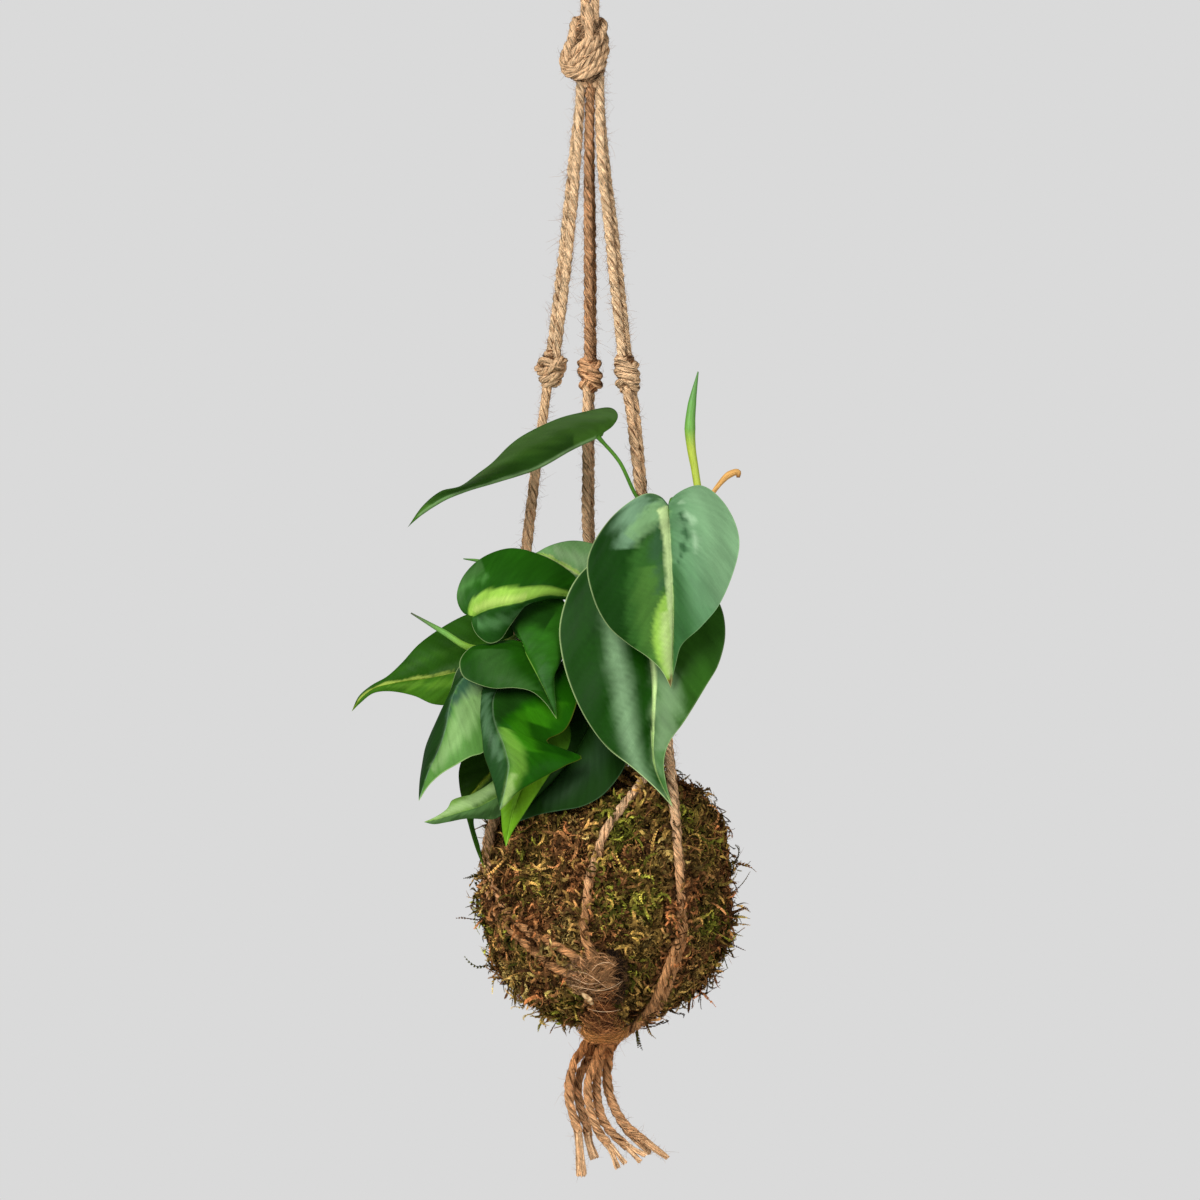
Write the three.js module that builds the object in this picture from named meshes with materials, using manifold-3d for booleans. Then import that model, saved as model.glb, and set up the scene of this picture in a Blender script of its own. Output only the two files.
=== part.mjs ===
// A kokedama: a heartleaf philodendron that grows from a ball of soil wrapped in moss, held by a
// knotted hanger of three jute cords, each folded double, so that six strands reach the ball.
//
// Millimetres, +Z up, and the front of the plant faces -Y. The origin is the inner top of the
// hanging loop, where a hook bears, and the whole object hangs below it.

import * as THREE from "three";
import { mergeVertices } from "three/addons/utils/BufferGeometryUtils.js";
import Module from "manifold-3d";

const wasm = await Module();
wasm.setup();

// ---------------------------------------------------------------- driving dimensions

const GAP = 0.3; // between pieces that touch
const CORD_D = 4.2; // jute cord
const CORD_SIDES = 8;
const CORD_STEP = 16; // length of one straight facet of a cord that hangs straight,
const BENT_STEP = 12; // of one that bends,
const LOOP_STEP = 6; // and of one that folds over the hook
const PAIR = CORD_D + GAP; // middle to middle of two cords that lie side by side
const KNOT_LUMP = 0.05; // how far the turns of a knot stand out, as a share of its size

const LOOP_SPAN = 23.2; // between the loop's two sides, cord middle to cord middle
const LOOP_FOOT = -58; // where the loop's ends vanish in the top knot

const BALL = new THREE.Vector3(8.6, 0, -479); // middle of the moss ball
const MOSS = { side: 59, top: 62, bottom: 60 };
const SOIL = { side: 51, top: 54, bottom: 52 };
const SHOULDER = 2.7; // how square the ball's upper half is, where 2 is round
const BELLY = 2.3; // and its lower half
const ON_MOSS = CORD_D / 2 + GAP; // from the moss to the middle of a cord that lies on it

const NECK = { x: 6, y: -3, radius: 20, depth: 12 }; // the gap in the moss that the stems leave by

const BLADE = 0.8; // thickness of a leaf
const BLADE_ROWS = 11;
const HALF_COLUMNS = 2;
const RIB_CROWDING = 1.6; // how much the rows crowd on the midrib beside the heart's lobes
const PETIOLE_D = 2.4;
const STEM_D = 4.4;
const ROOT_Z = -440; // the stems' lower ends in the soil
const STEM_SIDES = 8;
const STEM_STEP = 10;
const PETIOLE_SIDES = 6;
const SHOOT_SIDES = 6;
const SHOOT_STEPS = 2; // between two points of a shoot's line

// ---------------------------------------------------------------- materials

function finish(colour, roughness) {
  return new THREE.MeshStandardMaterial({ color: colour, roughness, metalness: 0 });
}

const JUTE = finish(0xb98f5e, 0.95);
const JUTE_ON_BALL = finish(0x9a6d45, 0.95);
const MOSS_GREEN = finish(0x5c5a25, 1);
const EARTH = finish(0x2f2218, 1);
const LEAF_GREEN = finish(0x1f5a22, 0.4);
const LEAF_LIME = finish(0x4f9a2c, 0.4);
const STEM_GREEN = finish(0x4d6b2a, 0.6);
const NEW_GREEN = finish(0x86a83c, 0.5);
const HUSK = finish(0xc89f5a, 0.8);

// ---------------------------------------------------------------- solids

function solidOf(geometry) {
  const bare = geometry.clone();
  for (const name of Object.keys(bare.attributes)) {
    if (name !== "position") bare.deleteAttribute(name);
  }
  const merged = mergeVertices(bare, 1e-4);
  const mesh = new wasm.Mesh({
    numProp: 3,
    vertProperties: Float32Array.from(merged.attributes.position.array),
    triVerts: Uint32Array.from(merged.index.array),
  });
  return new wasm.Manifold(mesh);
}

function geometryOf(solid) {
  const mesh = solid.getMesh();
  const geometry = new THREE.BufferGeometry();
  geometry.setAttribute("position", new THREE.BufferAttribute(mesh.vertProperties, 3));
  geometry.setIndex(new THREE.BufferAttribute(mesh.triVerts, 1));
  geometry.computeVertexNormals();
  return geometry;
}

const part = new THREE.Group();

function place(name, solid, material) {
  const mesh = new THREE.Mesh(geometryOf(solid), material);
  mesh.name = name;
  part.add(mesh);
}

const vectors = (points) => points.map((p) => new THREE.Vector3(...p));

function smooth(points) {
  return new THREE.CatmullRomCurve3(points, false, "centripetal");
}

// A round bar along a smooth curve through the points.
function bar(points, diameter, sides = CORD_SIDES, step = CORD_STEP) {
  const curve = smooth(points);
  const ring = new THREE.Shape();
  for (let i = 0; i < sides; i += 1) {
    const turn = (2 * Math.PI * (i + 0.5)) / sides;
    const x = (diameter / 2) * Math.cos(turn);
    const y = (diameter / 2) * Math.sin(turn);
    if (i === 0) ring.moveTo(x, y);
    else ring.lineTo(x, y);
  }
  ring.closePath();
  const steps = Math.max(3, Math.round(curve.getLength() / step));
  const settings = { steps, bevelEnabled: false, extrudePath: curve };
  return solidOf(new THREE.ExtrudeGeometry(ring, settings));
}

// ---------------------------------------------------------------- the ball's form

// A point in a direction from the ball's middle, at a height above a surface of the ball. Azimuth 0
// is the front and 90 the right side, and elevation 90 is the top, in degrees.
function onBall(azimuth, elevation, size, lift = 0) {
  const around = THREE.MathUtils.degToRad(azimuth);
  const up = THREE.MathUtils.degToRad(elevation);
  const power = elevation > 0 ? SHOULDER : BELLY;
  const tall = (elevation > 0 ? size.top : size.bottom) + lift;
  const flat = Math.cos(up) / (size.side + lift);
  const steep = Math.abs(Math.sin(up)) / tall;
  const reach = (flat ** power + steep ** power) ** (-1 / power);
  return new THREE.Vector3(
    BALL.x + reach * Math.cos(up) * Math.sin(around),
    BALL.y - reach * Math.cos(up) * Math.cos(around),
    BALL.z + reach * Math.sin(up),
  );
}

function ballSolid(size, lift = 0, bands = 14) {
  const profile = [];
  for (let i = 0; i <= bands; i += 1) {
    const elevation = -90 + (180 * i) / bands;
    const point = onBall(90, elevation, size, lift);
    profile.push(new THREE.Vector2(i % bands === 0 ? 0 : point.x - BALL.x, point.z));
  }
  const geometry = new THREE.LatheGeometry(profile, 2 * bands);
  geometry.rotateX(Math.PI / 2);
  geometry.translate(BALL.x, BALL.y, 0);
  return solidOf(geometry);
}

// ---------------------------------------------------------------- cords

// A lumpy knot: a ball of three turns of cord, pulled tight.
function knotSolid({ at, half }, grow = 0) {
  const geometry = new THREE.IcosahedronGeometry(1, 2);
  const position = geometry.attributes.position;
  const point = new THREE.Vector3();
  for (let i = 0; i < position.count; i += 1) {
    point.fromBufferAttribute(position, i).normalize();
    const turn = Math.atan2(point.y, point.x);
    const lump = 1 + KNOT_LUMP * Math.sin(3 * turn + 5 * point.z);
    point.multiplyScalar(lump);
    point.set(point.x * (half[0] + grow), point.y * (half[1] + grow), point.z * (half[2] + grow));
    position.setXYZ(i, point.x + at[0], point.y + at[1], point.z + at[2]);
  }
  return solidOf(geometry);
}

const KNOTS = {
  top_knot: { at: [-0.2, 0, -70.6], half: [9, 8.6, 15] },
  left_upper_knot: { at: [-18.7, -2, -224.2], half: [7.2, 7, 7.8] },
  middle_upper_knot: { at: [0, 0, -227.3], half: [6.2, 7.2, 7.2] },
  right_upper_knot: { at: [17.8, -16, -228], half: [6.4, 7, 7.6] },
  front_net_knot: { at: [5.2, -56.2, -517.6], half: [7, 5.8, 9.4] },
  bottom_knot: { at: [6.2, -4, -549], half: [8.2, 8.6, 6] },
};

// The loop: each cord is folded over the hook, and its two legs run down into the top knot.
function loopCord(y) {
  const side = LOOP_SPAN / 2;
  const top = CORD_D / 2;
  const middle = top - side;
  const leg = PAIR / 2;
  const half = [
    [leg, LOOP_FOOT],
    [leg, -50],
    [leg + 0.6, -44],
    [side - 3.2, -30],
    [side - 0.3, -19],
    [side, middle],
  ];
  const arch = [35, 65, 90, 115, 145].map((turn) => {
    const angle = THREE.MathUtils.degToRad(turn);
    return [side * Math.cos(angle), middle + side * Math.sin(angle)];
  });
  const back = half.map(([x, z]) => [-x, z]).reverse();
  const route = [...half, ...arch, ...back].map(([x, z]) => new THREE.Vector3(x, y, z));
  return bar(route, CORD_D, CORD_SIDES, LOOP_STEP);
}

// Three pairs of strands run from the top knot to the knots above the plant. Each pair has the
// line between its two cords, and the way from that line to the first cord at every point.
const UPPER_PAIRS = {
  left: {
    line: [[-4.6, 0, -76], [-4.6, 0, -92], [-6.9, -0.5, -120], [-11.3, -1, -166], [-18, -2, -222]],
    aside: [[0, 1], [0, 1], [-0.35, 0.93], [-0.58, 0.81], [-0.58, 0.81]],
  },
  middle: {
    line: [[0, 0, -76], [0, 0, -92], [-0.3, 0, -120], [0, 0, -166], [0.2, 0, -225]],
    aside: [[0, 1], [0, 1], [0.15, 0.99], [0.35, 0.93], [0.35, 0.93]],
  },
  right: {
    line: [[4.6, 0, -76], [4.6, 0, -92], [5.9, -3, -120], [11, -8, -166], [17.4, -15.5, -226]],
    aside: [[0, 1], [0, 1], [0.35, 0.93], [0.58, 0.81], [0.58, 0.81]],
  },
};

function pairRoute({ line, aside }, side) {
  return line.map(([x, y, z], i) => {
    const reach = (side * PAIR) / 2;
    return new THREE.Vector3(x + reach * aside[i][0], y + reach * aside[i][1], z);
  });
}

// Below those knots each strand runs free to the ball and then lies on the moss. Free points are
// x, y, z, and points on the ball are azimuth, elevation and, where two strands lie one on the
// other, the height of the outer one.
const OVER = ON_MOSS + 3.6;

const LOWER_STRANDS = {
  left_outer_strand: {
    knots: ["left_upper_knot", "front_net_knot"],
    free: [[-20.5, 0.6, -226], [-20.9, 0.7, -236], [-26.8, -1, -277], [-36.2, -5, -356]],
    ball: [
      [-82, 35], [-79, 27], [-73, 13], [-60, -6], [-46.5, -15.3], [-35.5, -23.8], [-28.5, -29.6],
    ],
    end: [[-6, -53, -515]],
  },
  left_inner_strand: {
    knots: ["left_upper_knot", "front_net_knot"],
    free: [[-20.1, -4, -226], [-20.9, -4, -236], [-26.2, -5.6, -277], [-34.8, -9.7, -356]],
    ball: [
      [-77, 35.5], [-74, 27.5], [-67, 14], [-55, -2], [-43.5, -10.6], [-34, -16.4], [-26, -19.5],
      [-17, -24.5],
    ],
    end: [[-1.6, -54.5, -510.4]],
  },
  front_strand: {
    knots: ["middle_upper_knot", "front_net_knot"],
    free: [
      [-1, -2.3, -229], [-1.5, -2.3, -238], [-1.5, -3.6, -270], [-1, -6.5, -309], [8, -12.5, -345],
      [20, -24, -385], [26, -33, -408], [26.4, -37.4, -419],
    ],
    ball: [[19.4, 51.5], [8.7, 42.2], [-1.3, 30], [-5, 20], [-8.3, 9], [-9.7, -2], [-10.4, -15.6]],
    end: [[2.5, -57.5, -510]],
  },
  back_strand: {
    knots: ["middle_upper_knot", "bottom_knot"],
    free: [
      [0.6, 2.3, -229], [0.1, 2.4, -238], [0.1, 4, -270], [0.3, 9, -309], [3, 25, -352],
      [5.5, 42, -403],
    ],
    ball: [[178, 32], [178, 20], [178, 5], [178, -10], [178, -25], [178, -40], [178, -55], [178, -68]],
    end: [[7, 11, -542], [7, 3, -546]],
  },
  right_outer_strand: {
    knots: ["right_upper_knot", "bottom_knot"],
    free: [
      [16.6, -18, -230], [18.4, -18.4, -240], [23.4, -25.2, -282], [30.6, -36.6, -352],
      [38.4, -46.4, -420],
    ],
    ball: [
      [31.6, 24, OVER], [31.8, 10, OVER], [32.4, -6, OVER], [32.3, -15, OVER], [29.5, -25, OVER],
      [27.8, -37, OVER], [28.4, -49, OVER - 1], [30.4, -59, ON_MOSS + 1],
    ],
    end: [[16.4, -14.5, -543.6], [10, -7, -548]],
  },
  right_inner_strand: {
    knots: ["right_upper_knot", "bottom_knot"],
    free: [
      [19.2, -14.3, -230], [21, -14.7, -240], [25.2, -21.2, -282], [31.4, -32.2, -352],
      [39.2, -42, -420],
    ],
    ball: [
      [34.6, 25], [34.6, 10], [35.3, -6], [35.4, -15], [33.2, -25], [32, -37], [35, -49], [41, -59],
    ],
    end: [[18.5, -9, -542.6], [11, -3, -548]],
  },
};

// Three strands leave the front knot together and run under the ball.
const NET_STRANDS = {
  net_strand_left: {
    free: [[2.7, -55, -519]],
    ball: [[-11, -43], [-13, -52], [-17, -62]],
    end: [[1.6, -15.5, -543]],
  },
  net_strand_middle: {
    free: [[6, -55, -519]],
    ball: [[-3.5, -43], [-3.5, -52], [-3.5, -62]],
    end: [[6.2, -16, -544]],
  },
  net_strand_right: {
    free: [[8.8, -55, -519]],
    ball: [[4.5, -43], [6, -52], [8, -62]],
    end: [[10.2, -15.5, -543.5]],
  },
};

// The six tails hang from the bottom knot with their ends cut and frayed.
const TAILS = {
  tail_left_front: [
    [2.7, -8, -547.5], [-3.1, -8.6, -551.1], [-7, -9.2, -556.8], [-9.3, -9.8, -564.1],
    [-10.2, -10.5, -570.9], [-9.3, -11, -578.2], [-7.5, -11, -584.4], [-5.9, -10.8, -590.2],
    [-5.2, -10.4, -596.4], [-4.6, -10, -604.2], [-4.1, -9.5, -611.8],
  ],
  tail_left_back: [
    [2.6, -1.8, -549.6], [-2, -2.8, -558.4], [-5.4, -4, -565.2], [-5.9, -5, -571.4],
    [-5.1, -5.5, -577.2], [-3.6, -5.4, -582.4], [-1.8, -5.2, -587.6], [-1, -5, -592.8],
    [0, -4.5, -597.5], [2.2, -4, -603.7],
  ],
  tail_middle_front: [
    [4.5, -10.2, -549], [3.7, -10.9, -554.8], [1.1, -11.6, -560.5], [-0.7, -12, -566.8],
    [-1, -12.5, -573], [-0.2, -13, -579.2], [1.6, -13, -584.5], [3.7, -13, -589.7],
    [6.3, -12.8, -593.8], [9.9, -12.5, -598], [15.1, -12, -606.8],
  ],
  tail_middle_back: [
    [4.8, -5.6, -549], [4.2, -6, -559.5], [3.2, -6.5, -566.7], [3.4, -6.8, -574], [4.8, -7, -581.3],
    [6.8, -7, -586.5], [9.9, -7, -590.7], [13.6, -6.8, -594.3], [17.2, -6.5, -597.5],
    [25.1, -6, -603.7],
  ],
  tail_right_front: [
    [9, -2, -550], [8.9, -2, -557], [8.3, -1.8, -565], [9.3, -1.9, -572],
    [11.2, -2, -578], [16.3, -2.5, -587], [24.5, -3, -594.2], [37, -3.5, -603.4],
  ],
  tail_right_back: [
    [8.4, 2.8, -550], [8.4, 3, -557], [8, 3.2, -565], [8.8, 3.1, -572],
    [10.8, 3, -578], [15.5, 2.6, -587], [21.5, 2.2, -594.3], [28.5, 1.8, -601.3],
  ],
};

function strandRoute({ free, ball, end }) {
  const lying = ball.map(([azimuth, elevation, lift = ON_MOSS]) =>
    onBall(azimuth, elevation, MOSS, lift));
  return [...vectors(free), ...lying, ...vectors(end)];
}

function cutBack(solid, names) {
  return names.reduce((left, name) => left.subtract(knotSolid(KNOTS[name], GAP)), solid);
}

// A strand that is cut back by a knot keeps a sliver beyond it where its route ends near the far
// side, so only the longest piece stays.
function longest(solid) {
  const pieces = solid.decompose();
  pieces.sort((a, b) => b.volume() - a.volume());
  return pieces[0];
}

function hanger() {
  for (const [name, knot] of Object.entries(KNOTS)) {
    place(name, knotSolid(knot), name.includes("upper") || name === "top_knot" ? JUTE : JUTE_ON_BALL);
  }
  const depths = { front: -PAIR, middle: 0, back: PAIR };
  for (const [name, y] of Object.entries(depths)) {
    place(`loop_cord_${name}`, longest(cutBack(loopCord(y), ["top_knot"])), JUTE);
  }
  for (const [name, pair] of Object.entries(UPPER_PAIRS)) {
    const knots = ["top_knot", `${name}_upper_knot`];
    for (const [which, side] of [["a", 1], ["b", -1]]) {
      const strand = bar(pairRoute(pair, side), CORD_D);
      place(`upper_strand_${name}_${which}`, longest(cutBack(strand, knots)), JUTE);
    }
  }
  for (const [name, strand] of Object.entries(LOWER_STRANDS)) {
    const solid = bar(strandRoute(strand), CORD_D, CORD_SIDES, BENT_STEP);
    place(name, longest(cutBack(solid, strand.knots)), JUTE);
  }
  for (const [name, strand] of Object.entries(NET_STRANDS)) {
    const solid = bar(strandRoute(strand), CORD_D, CORD_SIDES, BENT_STEP);
    const cut = cutBack(solid, ["front_net_knot", "bottom_knot"]);
    place(name, longest(cut), JUTE_ON_BALL);
  }
  for (const [name, route] of Object.entries(TAILS)) {
    const solid = bar(vectors(route), CORD_D, CORD_SIDES, BENT_STEP);
    place(name, longest(cutBack(solid, ["bottom_knot"])), JUTE);
  }
}

// ---------------------------------------------------------------- stems

const STEMS = {
  right_stem: [
    [14, -2, ROOT_Z], [15, -2.5, -425], [16.5, -3.5, -410], [22, -6, -380], [31, -8, -348],
    [42, -9.5, -317], [50, -11, -297], [53, -12, -289],
  ],
  left_stem: [
    [4, -3, ROOT_Z], [3.5, -4, -425], [2, -5, -408], [-6, -6.5, -388], [-14, -9, -372],
    [-22, -13, -358], [-30, -15.5, -346], [-34, -17.5, -338],
  ],
  low_stem: [
    [-5, -5, ROOT_Z], [-5.5, -6.5, -425], [-7.5, -9, -411], [-13, -14, -403], [-21, -18, -399],
    [-30, -22.5, -396],
  ],
};

function stemSolid(name, grow = 0) {
  return bar(vectors(STEMS[name]), STEM_D + 2 * grow, STEM_SIDES, STEM_STEP);
}

// ---------------------------------------------------------------- leaves

// Each leaf is a heart with a midrib from its base to its tip, and a left and a right edge from
// the base round that side's lobe to the tip, seen from its upper face with the tip down. The
// edges leave out the base and the tip. The petiole runs from the base to the stem.
const LEAVES = {
  front_heart_leaf: {
    rib: [
      [37.4, -46, -291.8], [38.5, -53, -312], [39.7, -57, -340], [39.6, -57.5, -356],
      [38.5, -57, -377.8],
    ],
    left: [
      [34, -47, -287], [26.9, -49, -285.3], [10.3, -54, -296.6], [-1.2, -57, -316.6],
      [1.5, -60, -334.8], [8.6, -61, -348.4], [17.4, -61, -356.4], [27.8, -60, -363.5],
      [34, -58.5, -369.5],
    ],
    right: [
      [40, -46.5, -286.5], [52.5, -49, -281.5], [63.6, -53, -289.4], [71, -59, -308.6],
      [62, -64, -337.2], [53.3, -64.5, -348.4], [43.6, -61, -357.5], [41, -58.5, -366],
    ],
    petiole: [[39, -39, -288], [42, -26, -291], [46.5, -12, -304]],
    stem: "right_stem",
  },
  rear_heart_leaf: {
    rib: [
      [26.4, -39, -331.2], [28.3, -43, -352], [30.8, -48, -375], [30.2, -53, -395], [31, -58, -415],
      [39.4, -62, -434.4],
    ],
    left: [
      [23, -38, -324], [14, -37, -318.6], [2, -37, -318], [-8.2, -39, -328.3], [-14.4, -42, -347.5],
      [-13.7, -46, -361], [-9.6, -50, -376.3], [-1.4, -54, -393.6], [8.6, -57, -406.6],
      [20.2, -60, -415.7], [30.4, -62, -424.8],
    ],
    right: [
      [30, -38.5, -325], [38, -39, -320.5], [52, -41, -325], [62, -44, -338], [64.5, -47, -352.3],
      [61.2, -50, -366.7], [55.7, -53, -376.3], [45.1, -57, -393.6], [37.6, -60, -404],
      [35.2, -61, -413], [36.4, -62, -423.5],
    ],
    petiole: [[22, -35, -327], [17, -26, -326], [20, -14, -333], [30, -8, -350]],
    stem: "right_stem",
  },
  high_leaf: {
    rib: [
      [5.8, -42, -256.8], [-8.6, -43, -263.5], [-25, -44, -272.6], [-45, -45, -279.2],
      [-59, -45, -283.4], [-70, -44, -288], [-80, -43.5, -294.6], [-86.9, -43, -301.4],
    ],
    left: [
      [9, -38, -252], [12.4, -29, -246.5], [8, -20, -245.5], [-4, -15, -248.5], [-25, -14, -256],
      [-40, -18, -266], [-52, -24, -275.5], [-63, -32, -284.5], [-72, -39, -288.6], [-81, -42.3, -294.5],
    ],
    right: [
      [10.6, -46, -253.4], [13.4, -54, -248.2], [9.6, -61, -244.8], [-6, -67, -247.6], [-25, -68, -253.9],
      [-38.4, -65, -263.5], [-50, -60, -273.5], [-61.4, -53, -281.8], [-71, -47, -284.2],
      [-79.5, -44.5, -291],
    ],
    petiole: [[14, -40, -270], [22.3, -34, -286.6], [31, -32, -297], [38, -23, -306], [43.5, -10, -313]],
    stem: "right_stem",
  },
  folded_leaf: {
    rib: [
      [-55.7, -44, -343.7], [-48, -44.5, -340.2], [-34, -42, -337.2], [-20.6, -37, -333.6],
      [-10, -31, -334.5], [0, -30, -338.4],
    ],
    left: [
      [-60.2, -43, -342.2], [-63.4, -41, -335.5], [-61.6, -38, -326.7], [-55.5, -35, -318.7],
      [-47.4, -33, -313.6], [-37.3, -32, -311.2], [-25.2, -31, -313.6], [-15, -30, -318.5],
      [-5, -29.5, -327],
    ],
    right: [
      [-56.2, -45, -347.5], [-53.5, -45, -353], [-48.1, -44, -356.6], [-43, -42, -355],
      [-38.7, -39, -349], [-33.2, -34.5, -341.6], [-28.6, -30, -336.6], [-22, -28, -335.2],
      [-11, -28.5, -335.8],
    ],
    petiole: [[-51, -37, -343], [-41, -27, -345], [-31, -15.5, -347]],
    stem: "left_stem",
  },
  back_leaf: {
    rib: [
      [7.2, -22, -332.2], [-5, -23.5, -323.4], [-14.4, -24, -318], [-23.2, -24, -313.9],
      [-29.8, -23, -314.9],
    ],
    left: [
      [9, -22, -338], [3, -23, -341], [-6, -24, -338], [-14, -25, -331], [-21, -25, -323],
      [-26, -24, -317.5],
    ],
    right: [
      [12, -20, -330], [14, -18.5, -321], [8, -18, -312], [-0.3, -19, -308.6], [-8, -20, -307.6],
      [-14.4, -21, -308.5], [-20.5, -22, -310.6], [-25.6, -22.6, -313.4],
    ],
    petiole: [[2, -20, -338], [-8, -15, -354], [-14.5, -9.5, -371]],
    stem: "left_stem",
  },
  middle_leaf: {
    rib: [
      [-31.9, -38, -356.6], [-30.6, -41, -361], [-26.5, -47, -369.1], [-21.1, -51.5, -380],
      [-15.8, -54, -392.7],
    ],
    left: [
      [-38, -37.5, -355], [-48, -38.5, -357], [-56.5, -41, -358.4], [-62, -45, -365],
      [-60.6, -49, -372.2],
      [-54, -52, -375.6], [-46, -53.5, -377.6], [-36, -54.5, -377.6], [-28, -54.5, -379.4],
      [-21.6, -54.5, -384.6],
    ],
    right: [
      [-35.5, -35, -352.5], [-38, -29.5, -346], [-36.5, -25, -339], [-31, -23, -334.2],
      [-25, -22.8, -332], [-19, -23.8, -332.6], [-14, -25.3, -334.6], [-11, -29.5, -339.6],
      [-9.4, -34.5, -346.5], [-10.8, -38, -357.6], [-14.4, -41, -365.2], [-16.8, -45, -371.4],
      [-17, -49, -378], [-16.3, -52.2, -385.4],
    ],
    petiole: [[-30, -33, -357], [-25, -24, -360], [-20, -12.5, -361]],
    stem: "left_stem",
  },
  pointed_leaf: {
    rib: [
      [-44, -24, -366], [-62, -27, -370], [-76, -29, -373], [-91, -30, -375.2], [-103, -31.5, -378.2],
      [-109, -32, -382.6], [-113.8, -32, -389.3],
    ],
    left: [
      [-41, -25.5, -372], [-44, -27.5, -380], [-54, -29.5, -385.6], [-66.7, -30.5, -386.4],
      [-75.4, -31, -385.6], [-84, -31, -381.8], [-96, -31.6, -379.6], [-103.6, -32, -380.6],
      [-109.4, -32.2, -385],
    ],
    right: [
      [-37.8, -20.6, -357.6], [-36.6, -17.2, -350], [-38.4, -15.2, -343.4], [-46, -15.6, -339.8], [-58, -17.6, -342.6], [-70, -20, -348.5],
      [-81.6, -23, -357.1], [-90, -26, -366.2], [-97, -29, -372.6], [-104.4, -31, -376.8],
      [-110.4, -31.8, -382],
    ],
    petiole: [[-35, -22, -368], [-25, -17, -370], [-14.5, -9, -370.5]],
    stem: "left_stem",
  },
  drooping_leaf: {
    rib: [
      [-54, -33, -368], [-62, -38.5, -375], [-66.2, -42.5, -384], [-68.3, -45, -395.5],
      [-71, -47, -404.9],
      [-77, -48, -418], [-81.5, -47, -431.8],
    ],
    left: [
      [-57.6, -33, -364.6], [-63, -34.6, -368.6], [-66.6, -35.6, -379], [-71, -36, -390],
      [-75.5, -35, -399], [-78.6, -35, -407], [-80.2, -38, -415], [-81.2, -43, -423.5],
    ],
    right: [
      [-50, -33, -364.6], [-44.6, -33, -368], [-40.6, -35, -377], [-39.4, -42, -389],
      [-43.2, -49.5, -401],
      [-50.9, -54, -408.6], [-57, -55, -410.6], [-64, -54, -414.6], [-71, -51.6, -419],
      [-77, -49, -424.8],
    ],
    petiole: [[-44, -31, -371.5], [-32, -26, -378.5], [-18, -15, -386], [-8.5, -7.5, -384]],
    stem: "left_stem",
  },
  torn_leaf: {
    rib: [
      [-42, -38, -375.4], [-46, -46, -382.6], [-46.1, -54, -390], [-44.2, -60, -397],
      [-40.6, -64, -406.3],
      [-38.7, -66, -414], [-39.4, -67, -421], [-42.7, -66, -435.8],
    ],
    left: [
      [-45, -38, -372.4], [-50.4, -42, -376.4], [-52, -50, -385.3], [-52, -56, -394], [-51, -60, -402.7],
      [-50.4, -62, -409], [-47.5, -64, -417.6], [-44.9, -65.5, -426],
    ],
    right: [
      [-38, -36, -371.4], [-29, -35, -367.5], [-18, -34.5, -364.5], [-8.5, -37, -368.5],
      [-5.6, -42, -379], [-7.6, -47.5, -389.5], [-12, -53, -398], [-20.5, -57.6, -402.9],
      [-16, -57, -406.4], [-3.6, -56, -410.6], [-12, -61, -415], [-24, -65, -421.2],
      [-34, -67, -427.2], [-39, -67, -432.4],
    ],
    petiole: [[-36, -34.5, -378], [-29, -28, -386], [-21, -18.5, -398]],
    stem: "low_stem",
  },
  hanging_tip_leaf: {
    rib: [[-22, -39, -393], [-27, -49, -408], [-32, -55, -424], [-37, -57.5, -438], [-39.9, -58, -453.4]],
    left: [
      [-26, -38, -388.6], [-34, -41, -390.4], [-40, -46, -398], [-44, -51, -409], [-44.6, -55, -422],
      [-42.4, -57, -436], [-41.6, -58, -446],
    ],
    right: [
      [-18.6, -38, -389], [-12, -39.6, -391.6], [-9, -44, -400], [-12, -50, -410], [-19, -54.6, -419],
      [-25, -57, -428], [-31.5, -58, -438], [-37, -58.2, -446.6],
    ],
    petiole: [[-20, -32, -393.5], [-16.5, -23, -397], [-13, -14, -402.5]],
    stem: "low_stem",
  },
  ball_leaf: {
    rib: [[4.8, -25, -386.4], [-2, -35, -400], [-12, -43, -416], [-26, -43, -431], [-40.3, -36, -443.5]],
    left: [
      [1, -23, -382.6], [-7, -24.6, -383.4], [-15, -30, -390.4], [-25, -36, -402], [-33.6, -39.6, -416],
      [-39, -39, -430],
    ],
    right: [
      [8.4, -24, -384.4], [14.6, -28, -391], [17.2, -34, -402], [17, -41, -413.6], [12.6, -46.6, -421.6],
      [5, -51, -429.6], [-4, -53, -434.2], [-14, -51, -436.2], [-24, -47, -438.2], [-33.4, -41.4, -441.4],
    ],
    petiole: [[5.2, -20, -389], [4.6, -13, -397], [2.2, -5.5, -406]],
    stem: "left_stem",
  },
  wavy_leaf: {
    rib: [
      [-40.4, -40, -427.8], [-46, -42, -430.8], [-52.8, -43.5, -434.4], [-61.4, -45, -437],
      [-70, -45.5, -439.6], [-79.1, -45, -441.8],
    ],
    left: [
      [-39.6, -40.6, -431], [-41, -41.5, -437], [-45, -43, -440.2], [-51.5, -44.5, -440.4],
      [-59, -45.5, -440.2],
      [-67.7, -46, -441.8], [-74.4, -45.6, -442.8],
    ],
    right: [
      [-38.6, -39, -424], [-39.6, -38, -420.4], [-44, -38, -421], [-50.9, -39.5, -425.6],
      [-57, -41, -428.8],
      [-62, -41.5, -430], [-65.8, -42.5, -431.6], [-68, -44, -435.4], [-73, -45, -439],
    ],
    petiole: [[-37.4, -38, -422], [-31.5, -30, -411], [-26.5, -20.5, -397.5]],
    stem: "low_stem",
  },
  drip_tip_leaf: {
    rib: [
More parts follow.
